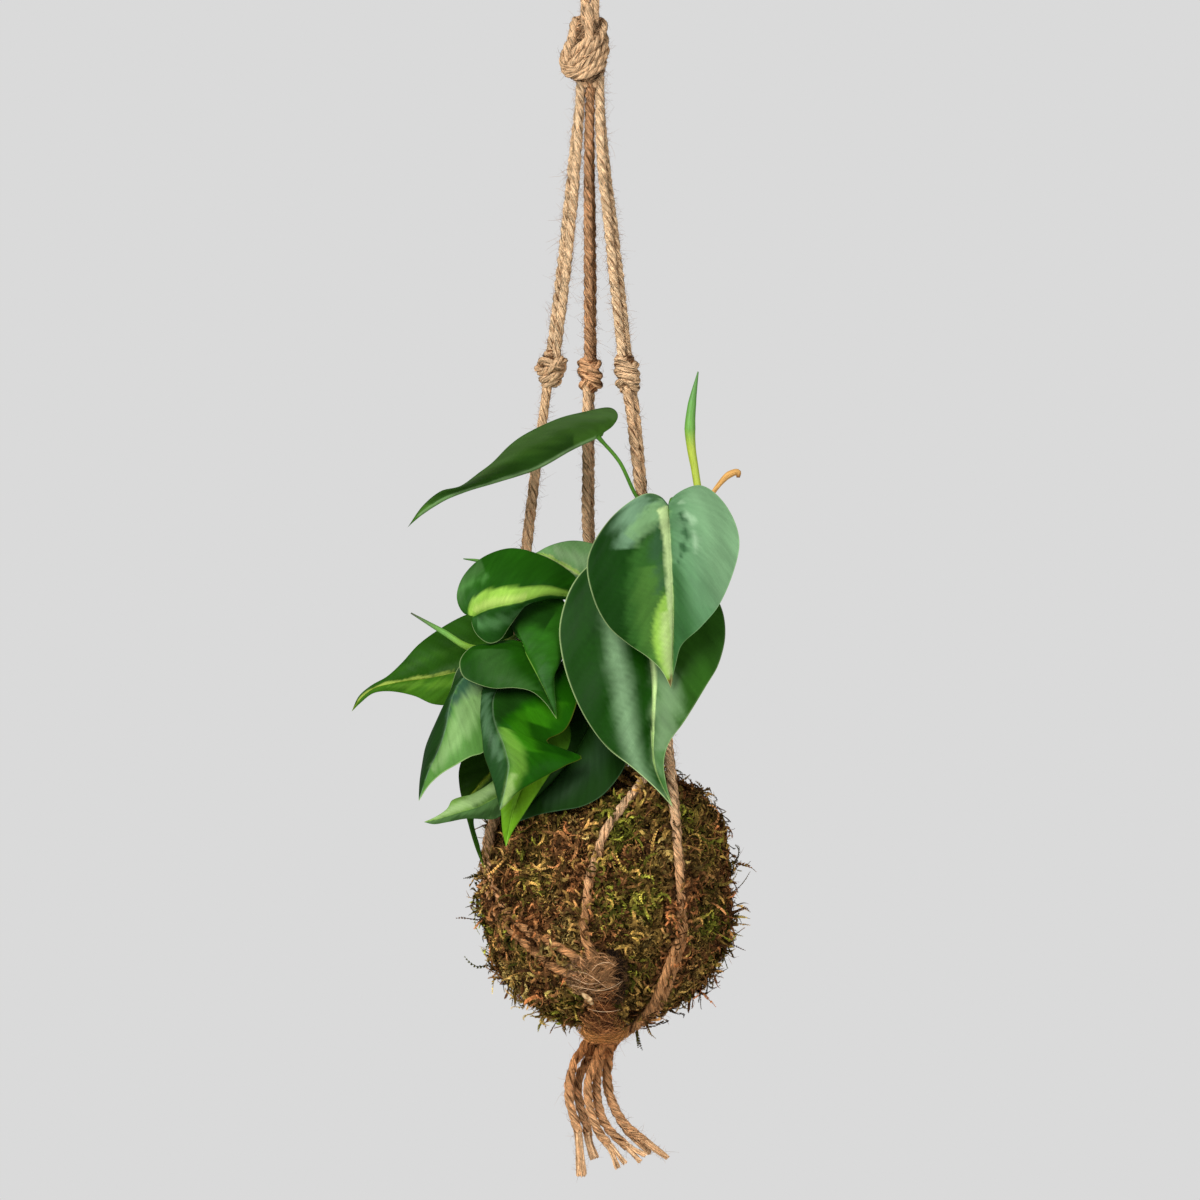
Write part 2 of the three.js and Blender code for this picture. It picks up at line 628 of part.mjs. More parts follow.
      [-41.5, -29, -409], [-48, -30, -419], [-54, -31, -425.5], [-58.2, -31, -431.5], [-57.2, -31, -440],
      [-53.5, -29, -454.6], [-50.6, -27, -464.6],
    ],
    left: [
      [-43.5, -28.5, -404.6], [-51, -28.5, -403.4], [-58.6, -29, -408], [-62.4, -30, -416.4],
      [-62.4, -30.8, -424.4], [-60.8, -31, -432.4], [-58.8, -31, -440.4], [-54.7, -29.2, -454.4],
    ],
    right: [
      [-38.2, -29, -406.6], [-35.2, -29.4, -411.6], [-37.4, -30, -421], [-44.6, -31.2, -429.6],
      [-51, -31.6, -434.6], [-55.4, -31.2, -440.4], [-52.4, -29, -454.8],
    ],
    petiole: [[-38, -27.5, -404], [-33, -25, -399], [-28, -21, -396.5]],
    stem: "low_stem",
  },
};

// The point at a share of a curve's length, along with the curve's own length table.
function along(points) {
  const curve = smooth(points);
  curve.arcLengthDivisions = 200;
  return (share) => curve.getPointAt(Math.min(1, Math.max(0, share)));
}

function bladeRows({ rib, left, right }) {
  const ends = vectors([rib[0], rib[rib.length - 1]]);
  const middle = along(vectors(rib));
  const sides = [left, right].map((edge) => along([ends[0], ...vectors(edge), ends[1]]));
  const rows = [];
  for (let i = 0; i <= BLADE_ROWS; i += 1) {
    const share = i / BLADE_ROWS;
    const centre = middle(share ** RIB_CROWDING);
    const row = [];
    for (let j = -HALF_COLUMNS; j <= HALF_COLUMNS; j += 1) {
      const edge = sides[j < 0 ? 0 : 1](share);
      row.push(centre.clone().lerp(edge, Math.abs(j) / HALF_COLUMNS));
    }
    rows.push(row);
  }
  return rows;
}

// The blade as a closed sheet with one point at its base and one at its tip.
function bladeSolid(leaf, thickness = BLADE) {
  const rows = bladeRows(leaf);
  const last = BLADE_ROWS;
  const wide = 2 * HALF_COLUMNS;
  const points = [rows[0][0], ...rows.slice(1, last).flat(), rows[last][0]];
  const at = (i, j) => {
    if (i === 0) return 0;
    if (i === last) return points.length - 1;
    return 1 + (i - 1) * (wide + 1) + j;
  };
  const faces = [];
  for (let i = 0; i < last; i += 1) {
    for (let j = 0; j < wide; j += 1) {
      const corners = [at(i, j), at(i, j + 1), at(i + 1, j + 1), at(i + 1, j)];
      if (i > 0) faces.push([corners[0], corners[2], corners[1]]);
      if (i < last - 1) faces.push([corners[0], corners[3], corners[2]]);
    }
  }
  const normals = points.map(() => new THREE.Vector3());
  for (const [a, b, c] of faces) {
    const ab = points[b].clone().sub(points[a]);
    const ac = points[c].clone().sub(points[a]);
    const normal = ab.cross(ac);
    for (const corner of [a, b, c]) normals[corner].add(normal);
  }
  const position = [];
  for (const side of [0.5, -0.5]) {
    points.forEach((point, i) => {
      const shift = normals[i].clone().normalize().multiplyScalar(side * thickness);
      position.push(...point.clone().add(shift).toArray());
    });
  }
  const under = points.length;
  const index = [];
  for (const [a, b, c] of faces) index.push(a, b, c, under + a, under + c, under + b);
  for (let i = 0; i < last; i += 1) {
    const [a, b] = [at(i, 0), at(i + 1, 0)];
    index.push(a, under + a, under + b, a, under + b, b);
    const [c, d] = [at(i, wide), at(i + 1, wide)];
    index.push(c, under + d, under + c, c, d, under + d);
  }
  const geometry = new THREE.BufferGeometry();
  geometry.setAttribute("position", new THREE.Float32BufferAttribute(position, 3));
  geometry.setIndex(index);
  return solidOf(geometry);
}

function leafSolid(leaf, stems) {
  const base = new THREE.Vector3(...leaf.rib[0]);
  const inward = new THREE.Vector3(...leaf.rib[1]).sub(base).setLength(1);
  const route = [base.add(inward), ...vectors(leaf.petiole)];
  const petiole = bar(route, PETIOLE_D, PETIOLE_SIDES, BENT_STEP).subtract(stems[leaf.stem]);
  return longest(bladeSolid(leaf).add(longest(petiole)));
}

// Young growth: a leaf that is still rolled, two sheaths still green and one gone dry. Each is a
// bar that swells and tapers, with a diameter at every point.
const SHOOTS = {
  rolled_leaf: {
    line: [
      [53, -12, -288.2], [51.6, -12, -281.8], [50.2, -12, -273], [48.6, -12, -263.5], [47.9, -12, -254],
      [48.9, -12, -242], [51.8, -12, -226.6],
    ],
    wide: [3.6, 3.6, 3.7, 4.3, 5.3, 4, 0.6],
    material: NEW_GREEN,
  },
  left_sheath: {
    line: [
      [-28, -16.5, -350], [-34, -20, -353], [-45, -28, -358], [-57, -33.5, -358.8], [-70, -36, -351.2],
      [-85.4, -38, -342.2],
    ],
    wide: [2.4, 2.6, 2.8, 3, 2.8, 0.6],
    material: NEW_GREEN,
  },
  small_sheath: {
    line: [
      [-34.4, -18, -337.4], [-37, -19.5, -332], [-45, -22, -323], [-52, -24.5, -317.8],
      [-60.5, -26, -316.3],
    ],
    wide: [2.6, 2.6, 2.4, 2, 0.5],
    material: NEW_GREEN,
  },
  dry_sheath: {
    line: [
      [55.2, -12.9, -290], [58, -14.4, -286], [62, -14, -280.5], [66.6, -14, -276],
      [70.8, -14, -274.8], [71, -14, -277.4],
    ],
    wide: [2, 2, 2.4, 3.2, 3, 1.6],
    material: HUSK,
  },
};

function shootSolid({ line, wide }) {
  const curve = smooth(vectors(line));
  const sides = SHOOT_SIDES;
  const steps = SHOOT_STEPS * (line.length - 1);
  const frames = curve.computeFrenetFrames(steps, false);
  const position = [];
  const ring = [];
  for (let i = 0; i <= steps; i += 1) {
    const share = (i / steps) * (line.length - 1);
    const from = Math.min(line.length - 2, Math.floor(share));
    const radius = THREE.MathUtils.lerp(wide[from], wide[from + 1], share - from) / 2;
    const centre = curve.getPoint(i / steps);
    for (let j = 0; j < sides; j += 1) {
      const turn = (2 * Math.PI * j) / sides;
      const out = frames.normals[i].clone().multiplyScalar(radius * Math.cos(turn));
      out.addScaledVector(frames.binormals[i], radius * Math.sin(turn));
      position.push(...centre.clone().add(out).toArray());
    }
    ring.push(i * sides);
  }
  const index = [];
  for (let i = 0; i < steps; i += 1) {
    for (let j = 0; j < sides; j += 1) {
      const next = (j + 1) % sides;
      const [a, b] = [ring[i] + j, ring[i] + next];
      const [c, d] = [ring[i + 1] + j, ring[i + 1] + next];
      index.push(a, b, d, a, d, c);
    }
  }
  for (let j = 1; j < sides - 1; j += 1) {
    index.push(0, j + 1, j);
    index.push(ring[steps], ring[steps] + j, ring[steps] + j + 1);
  }
  const geometry = new THREE.BufferGeometry();
  geometry.setAttribute("position", new THREE.Float32BufferAttribute(position, 3));
  geometry.setIndex(index);
  return solidOf(geometry);
}

function plant() {
  const stems = {};
  for (const name of Object.keys(STEMS)) {
    place(name, stemSolid(name), STEM_GREEN);
    stems[name] = stemSolid(name, GAP);
  }
  const lime = ["torn_leaf", "hanging_tip_leaf", "wavy_leaf", "drooping_leaf"];
  for (const [name, leaf] of Object.entries(LEAVES)) {
    place(name, leafSolid(leaf, stems), lime.includes(name) ? LEAF_LIME : LEAF_GREEN);
  }
  for (const [name, shoot] of Object.entries(SHOOTS)) {
    const solid = shootSolid(shoot);
    const clear = Object.values(stems).reduce((left, stem) => left.subtract(stem), solid);
    place(name, longest(clear), shoot.material);
  }
}

// ---------------------------------------------------------------- soil and moss

function mossBall() {
  const sockets = Object.keys(STEMS).map((name) => stemSolid(name, GAP));
  const soil = sockets.reduce((left, stem) => left.subtract(stem), ballSolid(SOIL));
  place("soil_ball", soil, EARTH);
  const tall = MOSS.top;
  const well = new THREE.CylinderGeometry(NECK.radius, NECK.radius, tall, 24);
  well.rotateX(Math.PI / 2);
  well.translate(NECK.x, NECK.y, BALL.z + SOIL.top - NECK.depth + tall / 2);
  const moss = ballSolid(MOSS).subtract(ballSolid(SOIL, GAP)).subtract(solidOf(well));
  place("moss_cover", longest(moss), MOSS_GREEN);
}

hanger();
plant();
mossBall();

export default part;
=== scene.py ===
"""The looks of a hanging kokedama: a heartleaf philodendron in a moss ball, in a knotted jute hanger.

The cords' routes and the leaves' outlines are the CAD model's own, in millimetres, apart from the right
inner strand, which lies up to 2 mm further out on the ball. Every mesh is made in metres. The front
faces -Y, Z points up, and the origin is the inner top of the hanging loop.
"""

import math

import bpy
import numpy as np
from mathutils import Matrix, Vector
from mathutils.kdtree import KDTree


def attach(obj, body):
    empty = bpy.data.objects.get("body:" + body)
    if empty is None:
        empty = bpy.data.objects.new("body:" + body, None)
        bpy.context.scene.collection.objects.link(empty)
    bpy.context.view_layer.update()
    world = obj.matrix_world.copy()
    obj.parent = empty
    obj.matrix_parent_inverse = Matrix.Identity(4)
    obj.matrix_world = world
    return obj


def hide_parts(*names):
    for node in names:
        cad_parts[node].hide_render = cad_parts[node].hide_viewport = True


MM = 0.001

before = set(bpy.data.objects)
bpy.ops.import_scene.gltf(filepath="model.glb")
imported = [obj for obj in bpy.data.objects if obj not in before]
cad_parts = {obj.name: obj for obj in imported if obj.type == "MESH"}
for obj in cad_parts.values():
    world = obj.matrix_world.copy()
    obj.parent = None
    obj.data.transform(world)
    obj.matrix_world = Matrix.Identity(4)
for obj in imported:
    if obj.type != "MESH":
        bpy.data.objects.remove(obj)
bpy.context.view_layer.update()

# ---------------------------------------------------------------- driving dimensions

CORD_D = 4.2
PAIR = CORD_D + 0.3  # middle to middle of two cords that lie side by side
PLIES = 3
PLY_PITCH = 15.0  # length in which a ply goes once round its cord
PLY_OUT = 1.06  # from the cord's middle to a ply's middle
PLY_HALF = (1.08, 1.16)  # half a ply's size, along and across the cord's radius
PLY_SIDES = 10
PLY_STEP = 0.75
FIBRES = 8.0  # loose fibres that lie on a millimetre of cord

BALL = np.array([8.6, 0.0, -479.0])
MOSS = (59.0, 62.0, 60.0)  # side, top and bottom radius of the matted moss
SHOULDER = 2.7  # how square the ball's upper half is, where 2 is round
BELLY = 2.3  # and its lower half
ON_MOSS = CORD_D / 2 + 0.3  # from the moss to the middle of a cord that lies on it
OVER = ON_MOSS + 3.6  # the same where the cord lies on the tufts of the moss
NECK = np.array([6.0, -3.0])  # the middle of the moss's opening round the stems
NECK_RADIUS = 20.0
NECK_DEPTH = 9.0
SOIL_BALL = (51.0, 54.0)  # side and top radius
HIDDEN = (-14, 19)  # elevations between which the moss has grown over the left strands

DAMP = (-415, -495)  # heights between which a cord goes from dry to damp
DRIER = (-548, -590)  # and those between which the damp leaves the tails again
AIR_DAMP = 0.12  # how damp a cord is everywhere

BLADE = 0.5  # thickness of a leaf
RIB_CROWDING = 1.6  # how much closer a blade's rows lie at the base than at the tip
PETIOLE_D = 2.4
STEM_D = 4.4

EYE = (4.8, -6000.0, -336.0)  # the camera, level and square on to the front
VIEW_WIDTH = 576.0  # what its frame takes in at the plant
SENSOR = 36.0

ROOM = 0.3  # how bright the room is, and the watts of the two lamps
KEY = 82
FILL = 26

# ---------------------------------------------------------------- colours


def srgb(red, green, blue):
    """A screen colour, given in 0 to 255, as linear numbers."""
    parts = np.array([red, green, blue]) / 255
    return np.where(parts <= 0.04045, parts / 12.92, ((parts + 0.055) / 1.055) ** 2.4)


JUTE_LIGHT = srgb(244, 205, 160)
JUTE_MID = srgb(190, 146, 102)
JUTE_DARK = srgb(138, 92, 56)
JUTE_DAMP = srgb(200, 146, 96)
JUTE_DAMP_DARK = srgb(84, 52, 28)
# How much the red, green and blue of each cord's jute differ from those above, partly as painted light and
# shade.
# painted light: the outer upper pairs, lighter where the lamp falls on them
SUNLIT = np.array([1.1, 1.18, 1.24])
# painted shade: the middle pair and its knot, darker for lying in shade behind the others
SHADED_JUTE = np.array([0.7, 0.59, 0.52])
DAMP_SHADE = np.array([0.96, 0.86, 0.77])
# a redder tone for the bottom knot, darkened with painted shade for lying under the ball
RUDDY_AND_SHADED = np.array([0.88, 0.71, 0.58])

DEEP = srgb(24, 68, 14)
GREEN = srgb(36, 86, 20)
OLIVE = srgb(46, 84, 14)
MEDIUM = srgb(64, 112, 34)
SILVER = srgb(116, 154, 112)
LIME = srgb(160, 208, 84)
PALE = srgb(204, 230, 158)
YELLOW = srgb(172, 190, 60)
HUSK = srgb(214, 160, 84)
BROWN = srgb(120, 74, 34)

# ---------------------------------------------------------------- curves and noise


def unit(vectors):
    return vectors / np.maximum(np.linalg.norm(vectors, axis=-1, keepdims=True), 1e-9)


def smoothstep(low, high, value):
    share = np.clip((value - low) / (high - low), 0, 1)
    return share * share * (3 - 2 * share)


def mix(first, second, share):
    share = np.asarray(share)[..., None]
    return np.asarray(first) * (1 - share) + np.asarray(second) * share


def ripple(points, size, seed, waves=9):
    """Smooth noise, roughly from -1 to 1, whose bumps are about the given size."""
    rng = np.random.default_rng(seed)
    total = np.zeros(points.shape[:-1])
    for _ in range(waves):
        direction = unit(rng.normal(size=points.shape[-1])) * rng.uniform(0.6, 1.6)
        total += np.sin(points @ direction * (math.pi / size) + rng.uniform(0, 2 * math.pi))
    return total / math.sqrt(waves)


def spline(points, step):
    """Evenly spaced points on a centripetal Catmull-Rom curve through the points."""
    p = np.asarray(points, float)
    p = np.vstack([2 * p[0] - p[1], p, 2 * p[-1] - p[-2]])
    gap = np.sqrt(np.linalg.norm(np.diff(p, axis=0), axis=1))
    t = np.linspace(0, 1, 24, endpoint=False)[:, None]
    dense = []
    for i in range(1, len(p) - 2):
        a, b, c, d = p[i - 1 : i + 3]
        da, db, dc = gap[i - 1 : i + 2]
        m1 = ((b - a) / da - (c - a) / (da + db) + (c - b) / db) * db
        m2 = ((c - b) / db - (d - b) / (db + dc) + (d - c) / dc) * db
        dense.append(b + m1 * t + (-3 * b + 3 * c - 2 * m1 - m2) * t**2 + (2 * b - 2 * c + m1 + m2) * t**3)
    dense = np.vstack([*dense, p[-2]])
    run = distances(dense)
    at = np.linspace(0, run[-1], max(3, round(run[-1] / step) + 1))
    return along(dense, run, at)


def distances(line):
    return np.concatenate([[0], np.cumsum(np.linalg.norm(np.diff(line, axis=0), axis=1))])


def along(line, run, at):
    return np.stack([np.interp(at, run, line[:, k]) for k in range(3)], axis=-1)


def frames(line):
    """Tangents, and two directions square to them that turn as little as they can along the line."""
    tangent = unit(np.gradient(line, axis=0))
    first = np.empty_like(line)
    seed = np.eye(3)[np.argmin(np.abs(tangent[0]))]
    first[0] = unit(np.cross(tangent[0], seed))
    for i in range(1, len(line)):
        flat = first[i - 1] - tangent[i] * (first[i - 1] @ tangent[i])
        first[i] = flat / max(np.linalg.norm(flat), 1e-9)
    return tangent, first, np.cross(tangent, first)


def turned(first, second, angle):
    """Directions that stand at an angle between two that are square to each other."""
    return first * np.cos(angle)[..., None] + second * np.sin(angle)[..., None]


def full_turn(count):
    """Even steps of one full turn."""
    return 2 * math.pi * np.arange(count) / count


def flattened(vectors, normal):
    """The parts of some vectors that are square to a normal, at length 1."""
    return unit(vectors - normal * np.sum(vectors * normal, axis=-1, keepdims=True))


def swell(steps, start=0.0, end=math.pi):
    """Numbers along a hump: they rise to 1 and sink again."""
    return np.sin(np.linspace(start, end, steps))


# ---------------------------------------------------------------- meshes


class Shape:
    """Points in millimetres, with their faces, colours and grain, gathered until they become one piece."""

    def __init__(self):
        self.points, self.faces, self.tint, self.grain = [], [], [], []
        self.count = 0

    def add(self, points, faces, tint, grain=None):
        points = np.asarray(points, float).reshape(-1, 3)
        self.points.append(points)
        self.faces += [np.asarray(group) + self.count for group in faces]
        tint = np.broadcast_to(tint, points.shape)
        brightest = np.maximum(tint.max(axis=1, keepdims=True), 1)
        self.tint.append(tint / brightest)  # so that a colour that is too bright keeps its hue
        self.grain.append(points if grain is None else np.asarray(grain, float).reshape(-1, 3))
        self.count += len(points)

    def add_alike(self, points, faces, tint):
        """Many alike pieces, points being piece by point by three. The faces are those of the first."""
        count, size = points.shape[:2]
        faces = np.asarray(faces)[None] + (np.arange(count) * size)[:, None, None]
        self.add(points, [faces.reshape(-1, faces.shape[-1])], tint)

    def add_hairs(self, lines, radius, tone, sides=3, grain=None):
        """Thin fibres. Lines is fibre by point by three, radius fibre by point, tone a colour for each."""
        points, faces = batch(hairs(lines, radius, sides))
        tone = np.broadcast_to(tone, lines.shape).reshape(-1, 3)
        self.add(points, faces, np.repeat(tone, sides, axis=0), grain)

    def mesh(self, name):
        mesh = bpy.data.meshes.new(name)
        points = np.vstack(self.points) * MM
        sizes = np.concatenate([np.full(len(group), group.shape[1]) for group in self.faces])
        corners = np.concatenate([group.ravel() for group in self.faces])
        mesh.vertices.add(len(points))
        mesh.vertices.foreach_set("co", points.astype(np.float32).ravel())
        mesh.loops.add(len(corners))
        mesh.loops.foreach_set("vertex_index", corners.astype(np.int32))
        mesh.polygons.add(len(sizes))
        starts = np.concatenate([[0], np.cumsum(sizes)[:-1]])
        mesh.polygons.foreach_set("loop_start", starts.astype(np.int32))
        mesh.update(calc_edges=True)
        mesh.validate()
        mesh.shade_smooth()
        tint = np.ones((len(points), 4), np.float32)
        tint[:, :3] = np.clip(np.vstack(self.tint), 0, 1)
        mesh.color_attributes.new("tint", "FLOAT_COLOR", "POINT").data.foreach_set("color", tint.ravel())
        grain = np.vstack(self.grain).astype(np.float32)
        mesh.attributes.new("grain", "FLOAT_VECTOR", "POINT").data.foreach_set("vector", grain.ravel())
        return mesh


def placed(name, data):
    """A new object in the scene."""
    made = bpy.data.objects.new(name, data)
    bpy.context.scene.collection.objects.link(made)
    return made


def piece(name, shape, material, nodes=()):
    """A shape as a piece of the model. One with a solid's own name gets an ending of its own."""
    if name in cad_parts:
        name += "_skin"
    made = placed(name, shape.mesh(name))
    made.data.materials.append(material)
    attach(made, "root")
    if nodes:
        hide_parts(*nodes)
    return made


def lattice(rows, columns, closed=True):
    """Four-cornered faces on a grid of points. A closed grid joins its last column to its first."""
    index = np.arange(rows * columns).reshape(rows, columns)
    right = np.roll(index, -1, axis=1)
    if not closed:
        index, right = index[:, :-1], right[:, :-1]
    faces = np.stack([index[:-1], right[:-1], right[1:], index[1:]], axis=-1)
    return faces.reshape(-1, 4)


def tube(rings):
    """The faces of a tube whose rings have their points in the last axis but one, with its ends closed."""
    rows, columns = rings.shape[:2]
    cap = np.arange(columns)
    return [lattice(rows, columns), cap[None, ::-1], (rows - 1) * columns + cap[None, :]]


def batch(rings):
    """Points and faces of many alike tubes, an array of tube by ring by side by three, with open ends."""
    count, rows, columns = rings.shape[:3]
    faces = lattice(rows, columns)[None] + (np.arange(count) * rows * columns)[:, None, None]
    return rings.reshape(-1, 3), [faces.reshape(-1, 4)]


def hairs(lines, radius, sides=3):
    """Rings of many thin tapered fibres. Lines is fibre by point by three, radius fibre by point."""
    tangent = unit(np.gradient(lines, axis=1))
    seed = np.where(np.abs(tangent[:, :1, 2:]) < 0.8, [[[0.0, 0.0, 1.0]]], [[[1.0, 0.0, 0.0]]])
    first = unit(np.cross(tangent, np.broadcast_to(seed, tangent.shape)))
    second = np.cross(tangent, first)
    out = turned(first[:, :, None], second[:, :, None], full_turn(sides))
    return lines[:, :, None] + out * radius[:, :, None, None]


# ---------------------------------------------------------------- materials


class Nodes:
    """A short way to write a material's nodes."""

    def __init__(self, name):
        self.material = bpy.data.materials.new(name)
        self.material.use_nodes = True
        self.tree = self.material.node_tree
        self.shader = self.tree.nodes["Principled BSDF"]

    def make(self, kind, inputs=(), **settings):
        node = self.tree.nodes.new(f"ShaderNode{kind}")
        for key, value in settings.items():
            setattr(node, key, value)
        for key, value in dict(inputs).items():
            if isinstance(value, bpy.types.NodeSocket):
                self.tree.links.new(value, node.inputs[key])
            else:
                node.inputs[key].default_value = value
        return node

    def grain(self):
        """Places on the piece: along it, round it, and a number of its own."""
        return self.make("Attribute", attribute_name="grain").outputs["Vector"]

    def ranged(self, noise, low, high, top=0.7):
        """A noise whose usual range is made to run from low to high."""
        return self.remap(noise, 0.3, top, low, high)

    def tinted(self, noise, dark, light, top=0.7):
        """The mesh's own colour, made darker and lighter by a noise."""
        own = self.make("Attribute", attribute_name="tint").outputs["Color"]
        return self.times(own, self.ranged(noise, dark, light, top))

    def scaled(self, vector, size):
        return self.make("VectorMath", {0: vector, 1: size}, operation="MULTIPLY").outputs[0]

    def noise(self, vector, scale, detail=3.0, rough=0.55):
        inputs = {"Vector": vector, "Scale": scale, "Detail": detail, "Roughness": rough}
        return self.make("TexNoise", inputs).outputs["Fac"]

    def remap(self, value, low, high, new_low, new_high):
        inputs = {"Value": value, 1: low, 2: high, 3: new_low, 4: new_high}
        return self.make("MapRange", inputs).outputs[0]

    def times(self, colour, value):
        """A colour made lighter or darker by a number."""
        return self.make("VectorMath", {0: colour, "Scale": value}, operation="SCALE").outputs[0]

    def sum(self, first, second):
        return self.make("Math", {0: first, 1: second}, operation="ADD").outputs[0]

    def blend(self, share, first, second):
        node = self.make("Mix", {0: share}, data_type="RGBA")
        for socket, value in ((6, first), (7, second)):
            if isinstance(value, bpy.types.NodeSocket):
                self.tree.links.new(value, node.inputs[socket])
            else:
                node.inputs[socket].default_value = (*value, 1)
        return node.outputs[2]

    def bump(self, height, strength, distance):
        inputs = {"Height": height, "Strength": strength, "Distance": distance}
        return self.make("Bump", inputs).outputs[0]

    def shade(self, **inputs):
        for key, value in inputs.items():
            socket = self.shader.inputs[key.replace("_", " ")]
            if isinstance(value, bpy.types.NodeSocket):
                self.tree.links.new(value, socket)
            else:
                socket.default_value = value
        return self.material


def jute_material():
    """Combed fibres that run along the ply, some pale and some dark, and nearly black in the gaps where the
    mesh's colour carries painted shade.
    """
    n = Nodes("jute")
    streaks = n.noise(n.scaled(n.grain(), (0.28, 2.2, 1.0)), 1.0, 4.0, 0.62)
    flecks = n.noise(n.scaled(n.grain(), (0.7, 5.0, 1.0)), 1.0, 2.0)
    colour = n.times(n.tinted(streaks, 0.5, 1.55, 0.72), n.ranged(flecks, 0.8, 1.2))
    relief = n.bump(n.sum(streaks, flecks), 0.9, 0.0006)
    return n.shade(Base_Color=colour, Roughness=0.85, Specular_IOR_Level=0.1, Normal=relief)


def fuzz_material():
    n = Nodes("jute_fuzz")
    colour = n.tinted(n.noise(n.grain(), 0.35, 1.0), 0.75, 1.25)
    return n.shade(Base_Color=colour, Roughness=0.8, Specular_IOR_Level=0.1)


def leaf_material():
    """A waxy blade: cells and fine veins in the colour and the relief, under a satin gloss."""
    n = Nodes("leaf")
    veins = n.noise(n.scaled(n.grain(), (2.4, 0.12, 1.0)), 1.0, 3.0)
    cells = n.noise(n.grain(), 2.6, 2.0)
    cloud = n.noise(n.grain(), 0.09, 2.0)
    colour = n.tinted(veins, 0.92, 1.08)
    colour = n.times(colour, n.ranged(cells, 0.93, 1.07))
    colour = n.times(colour, n.ranged(cloud, 0.88, 1.12))
    gloss = n.ranged(cloud, 0.32, 0.42)
    relief = n.bump(n.sum(veins, cells), 0.3, 0.00012)
    return n.shade(Base_Color=colour, Roughness=gloss, Specular_IOR_Level=0.04, Normal=relief)


def stem_material():
    n = Nodes("stem")
    lines = n.noise(n.scaled(n.grain(), (0.25, 2.5, 1.0)), 1.0, 3.0)
    return n.shade(Base_Color=n.tinted(lines, 0.8, 1.2), Roughness=0.48, Normal=n.bump(lines, 0.4, 0.0003))


def husk_material():
    n = Nodes("husk")
    lines = n.noise(n.scaled(n.grain(), (0.2, 3.0, 1.0)), 1.0, 4.0)
    return n.shade(Base_Color=n.tinted(lines, 0.55, 1.35), Roughness=0.7, Normal=n.bump(lines, 0.8, 0.0005))


def moss_material():
    n = Nodes("moss")
    speckle = n.noise(n.grain(), 1.1, 3.0)
    colour, relief = n.tinted(speckle, 0.65, 1.4), n.bump(speckle, 0.8, 0.0006)
    return n.shade(Base_Color=colour, Roughness=0.8, Specular_IOR_Level=0.06, Normal=relief)


def soil_material():
    n = Nodes("soil")
    place = n.make("TexCoord").outputs["Object"]
    crumbs = n.noise(place, 420.0, 5.0, 0.7)
    flecks = n.noise(place, 1300.0, 2.0)
    colour = n.blend(n.remap(crumbs, 0.35, 0.65, 0, 1), srgb(28, 18, 12), srgb(84, 58, 38))
    colour = n.blend(n.remap(flecks, 0.66, 0.72, 0, 1), colour, srgb(150, 118, 84))
    relief = n.bump(crumbs, 1.0, 0.0015)
    return n.shade(Base_Color=colour, Roughness=0.95, Specular_IOR_Level=0.1, Normal=relief)


JUTE = jute_material()
FUZZ = fuzz_material()
LEAF = leaf_material()
STEM = stem_material()
HUSK_SKIN = husk_material()
MOSS_SKIN = moss_material()
SOIL = soil_material()

# ---------------------------------------------------------------- camera


def camera():
    lens = bpy.data.cameras.new("camera")
    lens.sensor_width = SENSOR
    lens.lens = SENSOR * abs(EYE[1]) / VIEW_WIDTH
    lens.clip_end = 100
    eye = placed("camera", lens)
    eye.location = Vector(EYE) * MM
    eye.rotation_euler = (math.pi / 2, 0, 0)
    bpy.context.scene.camera = eye


camera()

# ---------------------------------------------------------------- the ball's form


def reach(directions, lift=0.0):
    """How far the moss lies from the ball's middle in each direction."""
    power = np.where(directions[..., 2] > 0, SHOULDER, BELLY)
    tall = np.where(directions[..., 2] > 0, MOSS[1], MOSS[2]) + lift
    flat = np.hypot(directions[..., 0], directions[..., 1]) / (MOSS[0] + lift)
    steep = np.abs(directions[..., 2]) / tall
    return (flat**power + steep**power) ** (-1 / power)


def outward(directions):
    """The moss's outward normal in each direction."""
    power = np.where(directions[..., 2] > 0, SHOULDER, BELLY)[..., None]
    tall = np.where(directions[..., 2] > 0, MOSS[1], MOSS[2])[..., None]
    at = directions * reach(directions)[..., None]
    level = np.linalg.norm(at[..., :2], axis=-1, keepdims=True)
    flat = (level / MOSS[0]) ** (power - 1) / MOSS[0] * at[..., :2] / np.maximum(level, 1e-9)
    steep = (np.abs(at[..., 2:]) / tall) ** (power - 1) / tall * np.sign(at[..., 2:])
    return unit(np.concatenate([flat, steep], axis=-1))


def bearing(azimuth, elevation):
    """A direction in degrees. Azimuth 0 is the front, 90 the right side, and elevation 90 the top."""
    around, up = np.radians(azimuth), np.radians(elevation)
    level = np.cos(up)
    way = np.broadcast_arrays(level * np.sin(around), -level * np.cos(around), np.sin(up))
    return np.stack(way, axis=-1)


def on_ball(azimuth, elevation, lift=ON_MOSS):
    """A point over the moss."""
    direction = bearing(azimuth, elevation)
    return BALL + direction * reach(direction, lift)


# ---------------------------------------------------------------- cords

